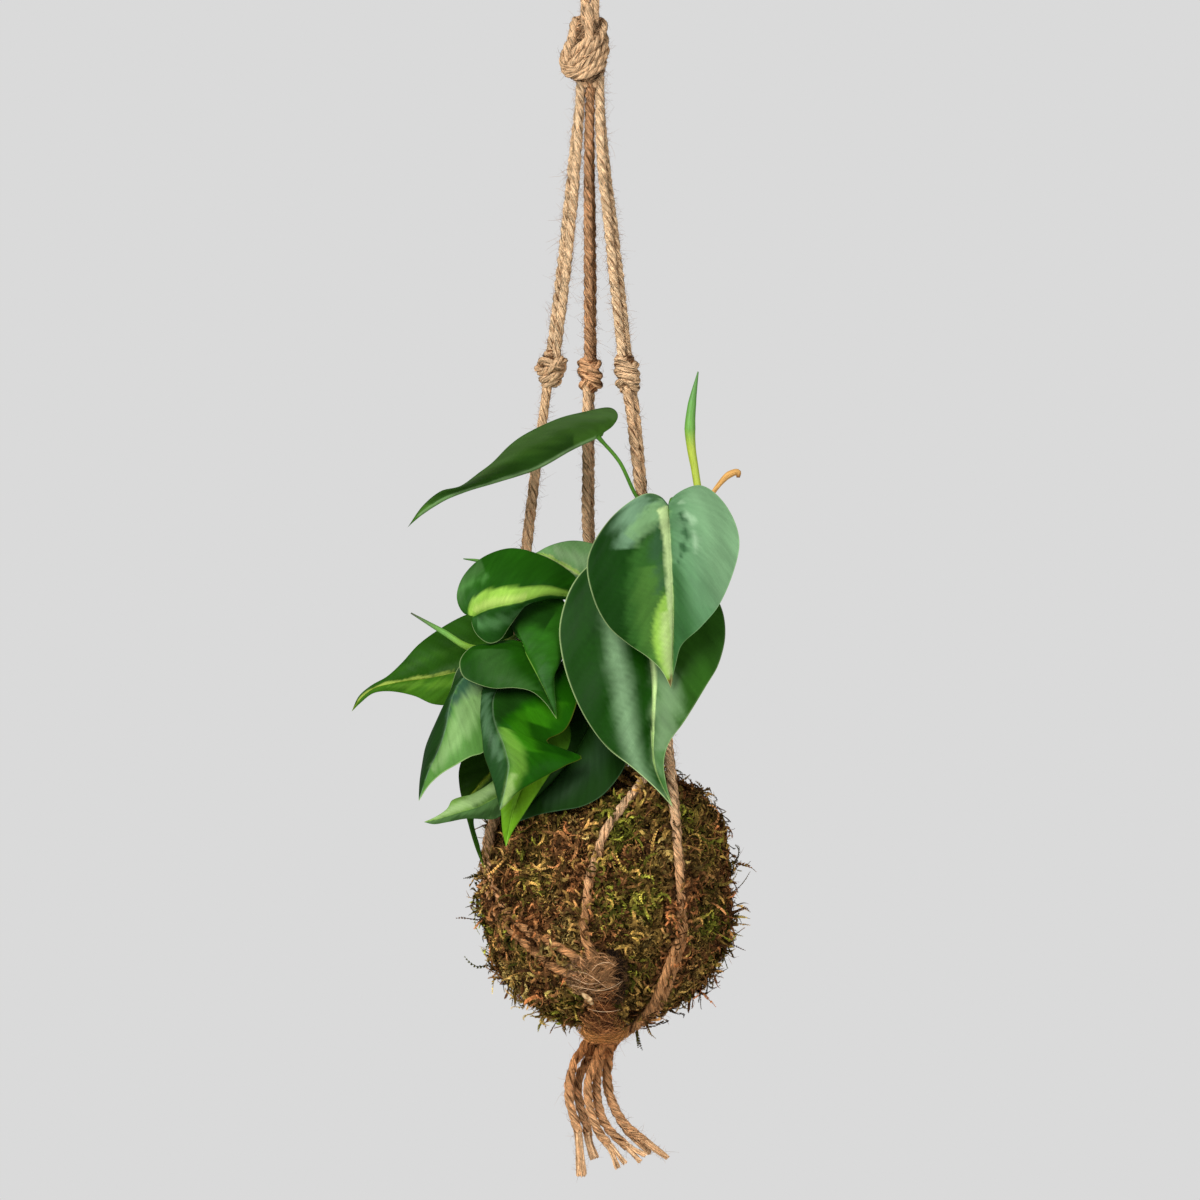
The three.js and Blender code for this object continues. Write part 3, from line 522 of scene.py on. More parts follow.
TAILS = {
    "tail_left_front": [
        (2.7, -8, -547.5), (-3.1, -8.6, -551.1), (-7, -9.2, -556.8), (-9.3, -9.8, -564.1),
        (-10.2, -10.5, -570.9), (-9.3, -11, -578.2), (-7.5, -11, -584.4), (-5.9, -10.8, -590.2),
        (-5.2, -10.4, -596.4), (-4.6, -10, -604.2), (-4.1, -9.5, -611.8),
    ],
    "tail_left_back": [
        (2.6, -1.8, -549.6), (-2, -2.8, -558.4), (-5.4, -4, -565.2), (-5.9, -5, -571.4),
        (-5.1, -5.5, -577.2), (-3.6, -5.4, -582.4), (-1.8, -5.2, -587.6), (-1, -5, -592.8),
        (0, -4.5, -597.5), (2.2, -4, -603.7),
    ],
    "tail_middle_front": [
        (4.5, -10.2, -549), (3.7, -10.9, -554.8), (1.1, -11.6, -560.5), (-0.7, -12, -566.8),
        (-1, -12.5, -573), (-0.2, -13, -579.2), (1.6, -13, -584.5), (3.7, -13, -589.7),
        (6.3, -12.8, -593.8), (9.9, -12.5, -598), (15.1, -12, -606.8),
    ],
    "tail_middle_back": [
        (4.8, -5.6, -549), (4.2, -6, -559.5), (3.2, -6.5, -566.7), (3.4, -6.8, -574), (4.8, -7, -581.3),
        (6.8, -7, -586.5), (9.9, -7, -590.7), (13.6, -6.8, -594.3), (17.2, -6.5, -597.5),
        (25.1, -6, -603.7),
    ],
    "tail_right_front": [
        (9, -2, -550), (8.9, -2, -557), (8.3, -1.8, -565), (9.3, -1.9, -572), (11.2, -2, -578),
        (16.3, -2.5, -587), (24.5, -3, -594.2), (37, -3.5, -603.4),
    ],
    "tail_right_back": [
        (8.4, 2.8, -550), (8.4, 3, -557), (8, 3.2, -565), (8.8, 3.1, -572), (10.8, 3, -578),
        (15.5, 2.6, -587), (21.5, 2.2, -594.3), (28.5, 1.8, -601.3),
    ],
}

# How long a tail's frayed end is, how wide it flares and in how many tufts it ends.
FRAYS = {
    "tail_left_front": (23, 3.0, 1),
    "tail_left_back": (13, 2.6, 1),
    "tail_middle_front": (14, 3.2, 2),
    "tail_middle_back": (11, 2.9, 2),
    "tail_right_front": (15, 2.6, 2),
    "tail_right_back": (13, 1.5, 1),
}


def jute_tint(groove, damp):
    """The cord's colour, dry or damp, with painted shade that darkens it from a ply's back to the groove
    beside it.
    """
    # painted shade in the grooves between the plies
    dark = smoothstep(0.26, 0.8, groove)
    return mix(mix(JUTE_LIGHT, JUTE_DARK, dark), mix(JUTE_DAMP, JUTE_DAMP_DARK, dark), damp)


def dampness(points):
    """How far the ball's damp has crept into a cord: all on it, little above it, less down the tails."""
    on_it = smoothstep(*DAMP, points[..., 2]) * (1 - 0.7 * smoothstep(*DRIER, points[..., 2]))
    return AIR_DAMP + (1 - AIR_DAMP) * on_it


def on_ply(angle, size):
    """How far out of the cord, and how far aside, a place on a ply's oval lies from the ply's middle."""
    return PLY_HALF[0] * size * np.cos(angle), PLY_HALF[1] * size * np.sin(angle)


def ply_skin(shape, course, rng, seed, shade):
    """The ply itself: an oval whose size wavers, ridged along its fibres and blotched."""
    ply, run, centre, out, aside = course
    around = full_turn(PLY_SIDES)
    along_ply = np.repeat(run[:, None], PLY_SIDES, axis=1)
    fat = 1 + 0.07 * ripple(run[:, None], 6, seed * 13 + ply)
    ridges = 1 + 0.05 * np.sin(5 * around + along_ply / 2.1 + ply)
    ridges = ridges + 0.03 * np.sin(9 * around - along_ply / 1.3)
    deep, wide = on_ply(around, fat[:, None] * ridges)
    rings = centre[:, None] + out[:, None] * deep[..., None] + aside[:, None] * wide[..., None]
    # painted shade: each point's colour darkens towards the groove beside the ply
    groove = np.broadcast_to((1 - np.cos(around)) / 2, along_ply.shape)
    blotch = 1 + 0.16 * ripple(run[:, None], 3.5, seed * 17 + ply)
    blotch = blotch + 0.12 * ripple(run[:, None], 16, seed * 19)
    tint = jute_tint(groove, dampness(rings)) * blotch[:, None, None] * shade
    girth = np.broadcast_to(around * PLY_HALF[0], along_ply.shape)
    grain = np.stack([along_ply + rng.uniform(0, 400), girth, np.full_like(girth, seed * 3 + ply)], axis=-1)
    shape.add(rings, tube(rings), tint.reshape(-1, 3), grain)


def ply_fibres(shape, course, rng, shade):
    """Loose fibres that lie along the ply, some of them bowed out of it."""
    _, run, centre, out, aside = course
    count = max(2, int(run[-1] * FIBRES / PLIES))
    start = rng.uniform(-2, run[-1] - 1, count)[:, None]
    at = np.clip(start + rng.uniform(1.8, 7, (count, 1)) * np.linspace(0, 1, 6), 0, run[-1])
    angle = rng.uniform(-1.9, 1.9, (count, 1))
    angle = angle + (at - start) * 2 * math.pi / rng.uniform(14, 60, (count, 1))
    bow = 1 + rng.normal(0.02, 0.04, (count, 1)) + rng.uniform(0, 0.1, (count, 1)) * swell(6)
    deep, wide = (size[..., None] for size in on_ply(angle, bow))
    lines = along(centre, run, at) + along(out, run, at) * deep + along(aside, run, at) * wide
    thick = rng.uniform(0.08, 0.23, (count, 1)) * np.array([0.4, 1, 1.1, 1, 0.8, 0.4])
    # the fibres take the painted shade of the groove they lie towards
    tone = jute_tint((1 - np.cos(angle)) / 2 * 0.8, dampness(lines))
    shape.add_hairs(lines, thick, tone * rng.choice([0.24, 0.65, 1.15, 1.7], (count, 1, 1)) * shade)


def twisted(shape, line, seed, shade=1.0):
    """A cord: its plies, laid round a line unevenly."""
    rng = np.random.default_rng(seed)
    _, first, second = frames(line)
    run = distances(line)
    spin = rng.uniform(0, 2 * math.pi)
    for ply in range(PLIES):
        uneven = 0.3 * ripple(run[:, None], 14, seed * 7 + ply) + 0.5 * ripple(run[:, None], 45, seed * 5)
        turn = spin + 2 * math.pi * ply / PLIES - 2 * math.pi * run / PLY_PITCH + uneven
        out = turned(first, second, turn)
        centre = line + out * PLY_OUT
        heading = unit(np.gradient(centre, axis=0))
        out = flattened(out, heading)
        course = ply, run, centre, out, np.cross(heading, out)
        ply_skin(shape, course, rng, seed, shade)
        ply_fibres(shape, course, rng, shade)


loose = {}  # the loose hairs of each part of the hanger
HAIR_RADIUS = 0.055
HAIR_ROOT = CORD_D / 2 - 0.35  # from a cord's middle to where its hairs start


def fuzz(area, line, seed, per_mm, longest):
    """Loose fibres that stand out of a cord, most of them short and a few long."""
    rng = np.random.default_rng(seed)
    tangent, first, second = frames(line)
    run = distances(line)
    count = max(1, int(run[-1] * per_mm))
    at = rng.uniform(0, run[-1], count)
    turn = rng.uniform(0, 2 * math.pi, count)
    heading = unit(along(tangent, run, at))
    out = turned(along(first, run, at), along(second, run, at), turn)
    aside = np.cross(heading, out)
    length = np.minimum(longest, 0.6 + rng.exponential(longest / 3.8, count))
    start = unit(out + heading * rng.uniform(-1.6, 1.6, (count, 1)) + aside * rng.normal(0, 0.4, (count, 1)))
    bend = heading * rng.normal(0, 0.8, (count, 1)) + aside * rng.normal(0, 0.8, (count, 1))
    bend += out * rng.normal(-0.3, 0.5, (count, 1))
    share = np.linspace(0, 1, 4)[None, :, None]
    root = along(line, run, at) + out * HAIR_ROOT
    lines = root[:, None] + length[:, None, None] * (start[:, None] * share + bend[:, None] * share**2 * 0.6)
    radius = HAIR_RADIUS * np.array([1.0, 0.9, 0.7, 0.25]) * rng.uniform(0.7, 1.3, (count, 1))
    dry = mix(JUTE_MID, JUTE_DARK * 0.6, rng.uniform(0, 1.1, count))
    tone = mix(dry, JUTE_DAMP * 0.8, dampness(root) * 0.7)
    loose.setdefault(area, Shape()).add_hairs(lines, radius, tone[:, None])


def frayed(shape, line, seed, length, flare, tufts):
    """The cut end of a cord: its fibres lie untwisted, side by side, and spread towards the cut."""
    rng = np.random.default_rng(seed)
    tangent, first, second = frames(line)
    run = distances(line)
    count, steps, sides = 90, 9, 4
    where = np.sqrt(rng.uniform(0, 1, count)) * HAIR_ROOT
    turn = rng.uniform(0, 2 * math.pi, count)
    tuft = np.where(np.cos(turn) > 0, 1, -1) if tufts == 2 else np.zeros(count)
    share = np.linspace(0, 1, steps)
    start = run[-1] - length
    ends = run[-1] + rng.normal(0, 0.35, count)
    lines = np.empty((count, steps, 3))
    for i, part in enumerate(share):
        at = start + (ends - start) * part
        beyond = np.maximum(at - run[-1], 0)[:, None]
        grow = 0.85 + (flare / (CORD_D / 2) - 0.85) * part**1.6
        x = where * np.cos(turn) * grow + tuft * 0.9 * part**2
        y = where * np.sin(turn) * (1 - 0.35 * part)
        wave = 0.12 * np.sin(3 * part * math.pi + turn * 3) * (part > 0)
        middle = along(line, run, np.minimum(at, run[-1])) + tangent[-1] * beyond
        lines[:, i] = middle + first[-1] * (x + wave)[:, None] + second[-1] * y[:, None]
    radius = np.linspace(0.42, 0.2, steps) * rng.uniform(0.7, 1.15, (count, 1))
    tone = mix(JUTE_LIGHT, JUTE_MID, rng.uniform(0, 1.0, count)) * rng.uniform(0.8, 1.15, (count, 1))
    along_fibre = np.repeat(share * length, sides) + rng.uniform(0, 90, (count, 1))
    grain = np.stack(np.broadcast_arrays(along_fibre, turn[:, None] * 3, where[:, None]), axis=-1)
    shape.add_hairs(lines, radius, tone[:, None], sides, grain)


KNOT_FOOT = -552.0  # where the tails come out of the bottom knot

for order, (name, points) in enumerate(TAILS.items()):
    line = spline(points, PLY_STEP)
    line = line[np.argmax(line[:, 2] < KNOT_FOOT) :]
    fray, flare, tufts = FRAYS[name]
    run = distances(line)
    twisted_part = line[run <= run[-1] - fray + 2.5]
    shape = Shape()
    twisted(shape, twisted_part, 300 + order, DAMP_SHADE)
    frayed(shape, line, 320 + order, fray, flare, tufts)
    fuzz("low", line, 340 + order, 5.0, 5.5)
    tail = piece(name, shape, JUTE, [name])

LOOP_SPAN = 23.2  # from middle to middle of its two legs
LOOP_FOOT = -58.0


def loop_route(depth):
    """One cord of the loop: up one leg, over the hook and down the other."""
    side, top, leg = LOOP_SPAN / 2, CORD_D / 2, PAIR / 2
    middle = top - side
    half = [
        (leg, LOOP_FOOT), (leg, -50), (leg + 0.6, -44), (side - 3.2, -30), (side - 0.3, -19),
        (side, middle),
    ]
    turns = [math.radians(turn) for turn in (35, 65, 90, 115, 145)]
    arch = [(side * math.cos(turn), middle + side * math.sin(turn)) for turn in turns]
    back = [(-x, z) for x, z in reversed(half)]
    return [(x, depth, z) for x, z in half + arch + back]


# The middle of each pair above the small knots, and how far its two cords lie apart across and in depth.
UPPER_PAIRS = {
    "left": (
        [(-4.6, 0, -76), (-4.6, 0, -92), (-6.9, -0.5, -120), (-11.3, -1, -166), (-18, -2, -222)],
        [(0, 1), (0, 1), (-0.35, 0.93), (-0.58, 0.81), (-0.58, 0.81)],
    ),
    "middle": (
        [(0, 0, -76), (0, 0, -92), (-0.3, 0, -120), (0, 0, -166), (0.2, 0, -225)],
        [(0, 1), (0, 1), (0.15, 0.99), (0.35, 0.93), (0.35, 0.93)],
    ),
    "right": (
        [(4.6, 0, -76), (4.6, 0, -92), (5.9, -3, -120), (11, -8, -166), (17.4, -15.5, -226)],
        [(0, 1), (0, 1), (0.35, 0.93), (0.58, 0.81), (0.58, 0.81)],
    ),
}

# Each strand's stretch in the air, its places on the ball as azimuth, elevation and, where it lies
# further out than usual, how far out, and its end.
LOWER_STRANDS = {
    "left_outer_strand": (
        [(-20.5, 0.6, -226), (-20.9, 0.7, -236), (-26.8, -1, -277), (-36.2, -5, -356)],
        [(-82, 35), (-79, 27), (-73, 13), (-60, -6), (-46.5, -15.3), (-35.5, -23.8), (-28.5, -29.6)],
        [(-6, -53, -515)],
    ),
    "left_inner_strand": (
        [(-20.1, -4, -226), (-20.9, -4, -236), (-26.2, -5.6, -277), (-34.8, -9.7, -356)],
        [
            (-77, 35.5), (-74, 27.5), (-67, 14), (-55, -2), (-43.5, -10.6), (-34, -16.4), (-26, -19.5),
            (-17, -24.5),
        ],
        [(-1.6, -54.5, -510.4)],
    ),
    "front_strand": (
        [
            (-1, -2.3, -229), (-1.5, -2.3, -238), (-1.5, -3.6, -270), (-1, -6.5, -309), (8, -12.5, -345),
            (20, -24, -385), (26, -33, -408), (26.4, -37.4, -419),
        ],
        [(19.4, 51.5), (8.7, 42.2), (-1.3, 30), (-5, 20), (-8.3, 9), (-9.7, -2), (-10.4, -15.6)],
        [(2.5, -57.5, -510)],
    ),
    "back_strand": (
        [
            (0.6, 2.3, -229), (0.1, 2.4, -238), (0.1, 4, -270), (0.3, 9, -309), (3, 25, -352),
            (5.5, 42, -403),
        ],
        [(178, 32), (178, 20), (178, 5), (178, -10), (178, -25), (178, -40), (178, -55), (178, -68)],
        [(7, 11, -542), (7, 3, -546)],
    ),
    "right_outer_strand": (
        [
            (16.6, -18, -230), (18.4, -18.4, -240), (23.4, -25.2, -282), (30.6, -36.6, -352),
            (38.4, -46.4, -420),
        ],
        [
            (31.6, 24, OVER), (31.8, 10, OVER), (32.4, -6, OVER), (32.3, -15, OVER), (29.5, -25, OVER),
            (27.8, -37, OVER), (28.4, -49, OVER - 1), (30.4, -59, ON_MOSS + 1),
        ],
        [(16.4, -14.5, -543.6), (10, -7, -548)],
    ),
    "right_inner_strand": (
        [
            (19.2, -14.3, -230), (21, -14.7, -240), (25.2, -21.2, -282), (31.4, -32.2, -352),
            (39.2, -42, -420),
        ],
        [
            (34.6, 25), (34.6, 10), (35.3, -6), (35.6, -15, OVER - 2), (34, -25, OVER - 2),
            (33, -37, OVER - 1.6), (34.6, -49, OVER - 2), (40, -59),
        ],
        [(18.5, -9, -542.6), (11, -3, -548)],
    ),
}

NET_STRANDS = {
    "net_strand_left": ([(2.7, -55, -519)], [(-11, -43), (-13, -52), (-17, -62)], [(1.6, -15.5, -543)]),
    "net_strand_middle": ([(6, -55, -519)], [(-3.5, -43), (-3.5, -52), (-3.5, -62)], [(6.2, -16, -544)]),
    "net_strand_right": ([(8.8, -55, -519)], [(4.5, -43), (6, -52), (8, -62)], [(10.2, -15.5, -543.5)]),
}


def strand_route(free, ball, end):
    """A strand's stretch in the air, its stretch on the ball and its end, as one list of points."""
    return [*map(np.array, free), *(on_ball(*place) for place in ball), *map(np.array, end)]


def strand(name, area, route, seed, per_mm=2.4, longest=5.5, shade=1.0):
    """A stretch of cord between two knots, with its fuzz."""
    line = spline(route, PLY_STEP)
    shape = Shape()
    twisted(shape, line, seed, shade)
    fuzz(area, line, seed + 50, per_mm, longest)
    piece(name, shape, JUTE, [name])
    return line


cord_lines = {}  # the middles of the strands that lie on the ball
for order, (name, depth) in enumerate({"front": -PAIR, "middle": 0, "back": PAIR}.items()):
    strand(f"loop_cord_{name}", "top", loop_route(depth), 400 + order)

for order, (name, (line, aside)) in enumerate(UPPER_PAIRS.items()):
    for which, side in (("a", 1), ("b", -1)):
        route = [
            (x + side * PAIR / 2 * across, y + side * PAIR / 2 * deep, z)
            for (x, y, z), (across, deep) in zip(line, aside)
        ]
        # the middle pair gets painted shade, the outer pairs painted light
        shade = SHADED_JUTE if name == "middle" else SUNLIT
        strand(f"upper_strand_{name}_{which}", "upper", route, 410 + 2 * order + (side > 0), 11.0, 6.5, shade)

for order, (name, stretch) in enumerate(LOWER_STRANDS.items()):
    cord_lines[name] = strand(name, "middle", strand_route(*stretch), 430 + order, 4.6, 6.5, 1.08)

for order, (name, stretch) in enumerate(NET_STRANDS.items()):
    cord_lines[name] = strand(name, "low", strand_route(*stretch), 440 + order, 3.0, 6.0)

# ---------------------------------------------------------------- knots


def wraps(at, radius, height, turns, start, tilt, lanes, lane_gap):
    """Routes of a band of cords that winds round an upright line at a place, with its ends drawn inside."""
    routes = []
    for lane in lanes:
        route = []
        for turn in np.linspace(start, start + 360 * turns, int(10 * turns) + 2):
            angle = math.radians(turn)
            share = (turn - start) / (360 * turns)
            drawn = min(1, 0.4 + 4 * share, 0.4 + 4 * (1 - share))
            x = radius[0] * math.cos(angle) * drawn
            y = -radius[1] * math.sin(angle) * drawn
            z = height * (0.5 - share) + tilt * x + lane * lane_gap
            route.append((at[0] + x, at[1] + y, at[2] + z))
        routes.append(route)
    return routes


def swollen(mass, angle, at):
    """Middles and outward vectors of a thick felted core. Its mass is a list of places along it, each with
    half its width and half its depth there."""
    mass = np.array(mass, float)
    places, run = mass[:, :3], distances(mass[:, :3])
    share = np.clip(at, 0, 1) * run[-1]
    wide, deep = (np.interp(share, run, mass[:, k]) for k in (3, 4))
    heading = unit(along(np.gradient(places, run, axis=0), run, share))
    across = np.array([1.0, 0.0, 0.0])
    front = unit(np.cross(heading, across))
    front = np.where(front[..., 1:2] > 0, -front, front)
    out = across * (wide * np.cos(angle))[..., None] + front * (deep * np.sin(angle))[..., None]
    return along(places, run, share), out


def core_grid(rows, sides):
    """Places along a core and angles round it, row by row."""
    return np.meshgrid(np.linspace(0, 1, rows), full_turn(sides), indexing="ij")


def patchy(points, seed):
    """How bright the felt is from place to place."""
    return np.exp(0.5 * ripple(points, 3.0, seed + 3))[..., None]


def felted(shape, mass, seed, count, spread, bright, tilt=0.0, thick=0.16, loft=0.05, core=True):
    """A core of matted fibre with fibres wound round it, most of them level or at one tilt."""
    rng = np.random.default_rng(seed)
    if core:
        at, angle = core_grid(40, 24)
        middle, out = swollen(mass, angle, at)
        lumps = ripple(np.stack([at * 9, np.cos(angle), np.sin(angle)], -1), 0.7, seed)
        rings = middle + out * (0.9 + 1.2 * loft * lumps)[..., None]
        dull = mix(JUTE_DARK, JUTE_DAMP_DARK, dampness(rings)) * 0.9 * bright * patchy(rings, seed)
        shape.add(rings, tube(rings), dull.reshape(-1, 3), rings)
    tall = distances(np.array(mass, float)[:, :3])[-1]
    girth = np.mean([row[3] for row in mass])
    steps = 8
    start = rng.uniform(0, 2 * math.pi, (count, 1))
    length = rng.uniform(0.4, 2.4, (count, 1)) * np.linspace(0, 1, steps)
    turn = start + length * rng.choice([-1, 1], (count, 1))
    slope = rng.normal(tilt, spread, (count, 1)) * girth / tall
    at = rng.uniform(0.0, 1.0, (count, 1)) - slope * (np.cos(turn) - np.cos(start))
    at = at + rng.normal(0, 0.012, (count, steps))
    middle, out = swollen(mass, turn, at)
    bow = 1 + np.abs(rng.normal(0, loft, (count, 1))) + rng.uniform(0, 2.4 * loft, (count, 1)) * swell(steps)
    lines = middle + out * bow[..., None]
    width = rng.uniform(0.3, 1.0, (count, 1)) * thick * swell(steps, 0.4, 2.8)
    dry = mix(JUTE_LIGHT, JUTE_DARK, rng.uniform(0, 1, (count, 1)))
    tone = mix(dry, JUTE_DAMP * 0.8, dampness(lines) * 0.85)
    tone = tone * rng.choice([0.25, 0.55, 1.1, 2.0], (count, 1, 1)) * bright * patchy(lines, seed)
    shape.add_hairs(lines, width, tone)


def caught_stalk(shape, stalk, seed):
    """A rough bit of pale stalk."""
    at, angle = core_grid(12, 10)
    middle, out = swollen(stalk, angle, at)
    rings = middle + out * (1 + 0.12 * ripple(middle + out, 1.2, seed))[..., None]
    blotch = smoothstep(-0.6, 0.9, ripple(rings.reshape(-1, 3), 0.9, seed + 1))
    shape.add(rings, tube(rings), mix(srgb(214, 180, 132), srgb(150, 106, 66), blotch), rings)


def knot(
    name, area, routes, mass, seed, count, shade,
    slot="jute", longest=5.5, per_mm=2.4, tufts=(), stalk=(), **felt,
):
    """Turns of cord pulled tight, with the felt that fills them as a piece of its own."""
    shape = Shape()
    if stalk:
        caught_stalk(shape, stalk, seed)
    for order, (tuft, fibres, bright, core) in enumerate(tufts):
        felted(shape, tuft, seed + 60 + order, fibres, 1.3, bright, thick=0.13, loft=0.2, core=core)
    for order, route in enumerate(routes):
        line = spline(route, PLY_STEP)
        twisted(shape, line, seed + order, shade)
        fuzz(area, line, seed + order + 30, per_mm, longest)
    piece(name, shape, JUTE, [name])
    wool = Shape()
    felted(wool, mass, seed + 25, count, bright=shade, **felt)
    piece(f"{name}_felt", wool, JUTE)


TOP_KNOT_ROUTES = [
    *(
        [
            (x, y, -49), (x * 0.9 - 0.2, y, -60), (x * 0.6 - 0.4, y * 0.9, -70), (x, y * 0.7, -80),
            (x * 0.9, y * 0.6, -90),
        ]
        for x in (-2.3, 2.1)
        for y in (-4.2, 0, 4.2)
    ),
    [(-0.2, -5.6, -50), (-0.5, -7.4, -57), (-0.6, -8.2, -63), (-0.6, -8, -68), (-0.6, -5, -72)],
    [
        (-1, 5.5, -58), (-6.4, 3, -57.6), (-7.8, -2, -60.5), (-8.6, -5, -67), (-10.2, -6.4, -74),
        (-11, -5.6, -79), (-7.4, -8.4, -81.8), (-1, -9.6, -81), (3.6, -8.2, -77.6), (6, -3.4, -74.6),
        (5, 3, -73),
    ],
    [
        (-1, 6.5, -61), (-7, 4.5, -63), (-9.4, 0, -68), (-12, -2.6, -74), (-12.4, -2.6, -79.5),
        (-9.4, -7, -84), (-3, -9.2, -84.4), (2.4, -8.4, -81.8), (5.6, -4, -79), (5, 3, -77.5),
    ],
    [
        (3, 6, -58), (6, 2, -59), (5.6, -3.4, -64), (3.8, -7.4, -68), (0.2, -9.6, -71.6), (-4, -9.8, -75),
        (-8, -7.8, -78.6), (-9.4, -3, -82),
    ],
    [(1.6, -5, -65), (-1, -8.6, -67.8), (-4.6, -8.8, -71), (-8, -6.6, -74.6), (-9.6, -2, -77)],
    [
        (4.4, 6, -62), (6.8, 2, -66), (6.2, -4, -70.4), (3, -8.6, -74.4), (-1.4, -10.4, -77.8),
        (-5.6, -9.6, -81), (-8, -5, -83),
    ],
    [(3, 6, -68), (7, 2.4, -71), (6.4, -4.4, -74.6), (3.4, -8.4, -78.4), (0, -6, -81)],
    [(-8, 4, -80), (-3, 7.6, -79), (3, 7.4, -78.4), (6.4, 2.4, -77.4)],
    [(-9, 5, -74), (-3, 8, -72), (3, 7.4, -71), (6.4, 3, -70)],
]
TOP_KNOT_MASS = [
    # places along it, each with half the width and half the depth there
    (-0.6, 0.4, -57, 5, 5), (-0.8, 0, -62, 6.4, 6.2), (-1, -0.4, -68, 7.6, 7.6),
    (-2.2, -0.6, -75, 9.2, 8.8), (-3, -0.4, -80, 9.6, 8.8), (-2.6, -0.2, -84, 7.8, 7.4),
    (-1, 0, -87.5, 4.4, 5),
]
knot("top_knot", "top", TOP_KNOT_ROUTES, TOP_KNOT_MASS, 500, 1250, 0.92, tilt=0.5, spread=0.6, thick=0.2)

# How far below its middle a place on a small knot lies, with half the width and half the depth there.
SMALL_KNOT_FORM = [(-9, 2.4, 3), (-6, 3.6, 4), (0, 4.2, 4.6), (6, 3.6, 4), (9, 2.4, 3)]
SMALL_KNOT_REACH = 8  # how far its straight cords run up and down from the middle
SMALL_KNOTS = {
    # middle, how far it leans to the side and in depth in each millimetre up, shade, routes
    "left_upper_knot": ((-18.6, -2, -225), (-0.0375, 0), 0.92, [
        [
            (-21, 3.4, -221.6), (-24, 1, -223.4), (-24.2, -3, -226), (-21.4, -6.2, -226.6),
            (-17.5, -7, -223.8), (-14, -5, -221), (-12.8, -1.6, -221), (-14, 2.4, -222.6), (-17, 3, -224),
        ],
        [
            (-15.6, 3.4, -220), (-13.4, 0.4, -223.6), (-14.4, -4, -225.6), (-18, -6.9, -223.4),
            (-21.8, -5.6, -221.2), (-23, -1.6, -222.4), (-21, 2.4, -225.6),
        ],
        [
            (-16, 2.4, -227), (-14.6, -1.6, -227.6), (-16.8, -5.8, -228.6), (-20.8, -6.2, -230),
            (-22.6, -2.6, -230), (-20, 2, -229),
        ],
        [
            (-18, 2.6, -229), (-15.6, 0, -230.6), (-17, -4.6, -231.8), (-20.6, -5, -232.6),
            (-21.4, -1.6, -232.4),
        ],
    ]),
    # this knot carries the middle pair's painted shade
    "middle_upper_knot": ((0.1, 0, -227.6), (0, 0), SHADED_JUTE * 1.28, [
        *wraps((0.1, 0, -227.4), (4.1, 4.2), 2.0, 1.1, -100, -0.95, (-0.6, 0.6), 3.4),
        *wraps((0.1, 0.4, -228), (3.6, 3.6), 2.0, 1.0, -80, 0.5, (-0.9, 0.9), 3.2),
    ]),
    "right_upper_knot": ((17.8, -16, -228), (0.03125, -0.025), 0.9, [
        *wraps((17.8, -16, -227.4), (4.3, 4.2), 2.0, 1.1, -100, -1.0, (-0.9, 0.1, 1.0), 3.3),
        *wraps((17.8, -15.6, -228), (3.7, 3.6), 2.0, 1.0, -80, 0.4, (-0.8, 0.8), 3.2),
    ]),
}
for order, (name, (at, lean, shade, turns)) in enumerate(SMALL_KNOTS.items()):
    mass = [
        (at[0] - lean[0] * down, at[1] - lean[1] * down, at[2] - down, wide, deep)
        for down, wide, deep in SMALL_KNOT_FORM
    ]
    core = [
        [(at[0] + x, at[1] + y, at[2] + up) for up in (SMALL_KNOT_REACH, 0, -SMALL_KNOT_REACH)]
        for x, y in ((-1.2, -1.6), (1.2, 1.6))
    ]
    tilt = 0.1 if name.startswith("left") else 0.6
    knot(name, "upper", core + turns, mass, 520 + 10 * order, 320, shade, tilt=tilt, spread=0.5)

FRONT_KNOT = (5.6, -56.8, -513.4)
front_knot = wraps(FRONT_KNOT, (5.0, 3.8), 1.0, 1.15, -110, -0.45, (-1.1, 0, 1.1), 3.4)
front_knot += wraps(FRONT_KNOT, (5.2, 4.2), 1.0, 1.15, -110, 0.55, (-0.5, 0.6), 3.6)
front_knot.append([
    (-1.2, -58, -499), (1.4, -58.6, -503.6), (3, -59.6, -508), (4.4, -58, -513), (5.6, -55, -520),
])
FRONT_KNOT_MASS = [
    (3.4, -55.6, -504.6, 2.8, 2.2), (5, -56.4, -508.6, 5, 3.6), (5.4, -56, -514, 5.6, 4.2),
    (6.4, -55, -519, 4.8, 4.4), (6.2, -52.4, -524, 5.4, 3.8), (7.4, -49, -529, 4.8, 3.4),
    (6.6, -43, -534, 6.2, 3.4), (7.2, -36, -538.4, 6.2, 3.6), (7, -30, -539.6, 6.4, 3),
]
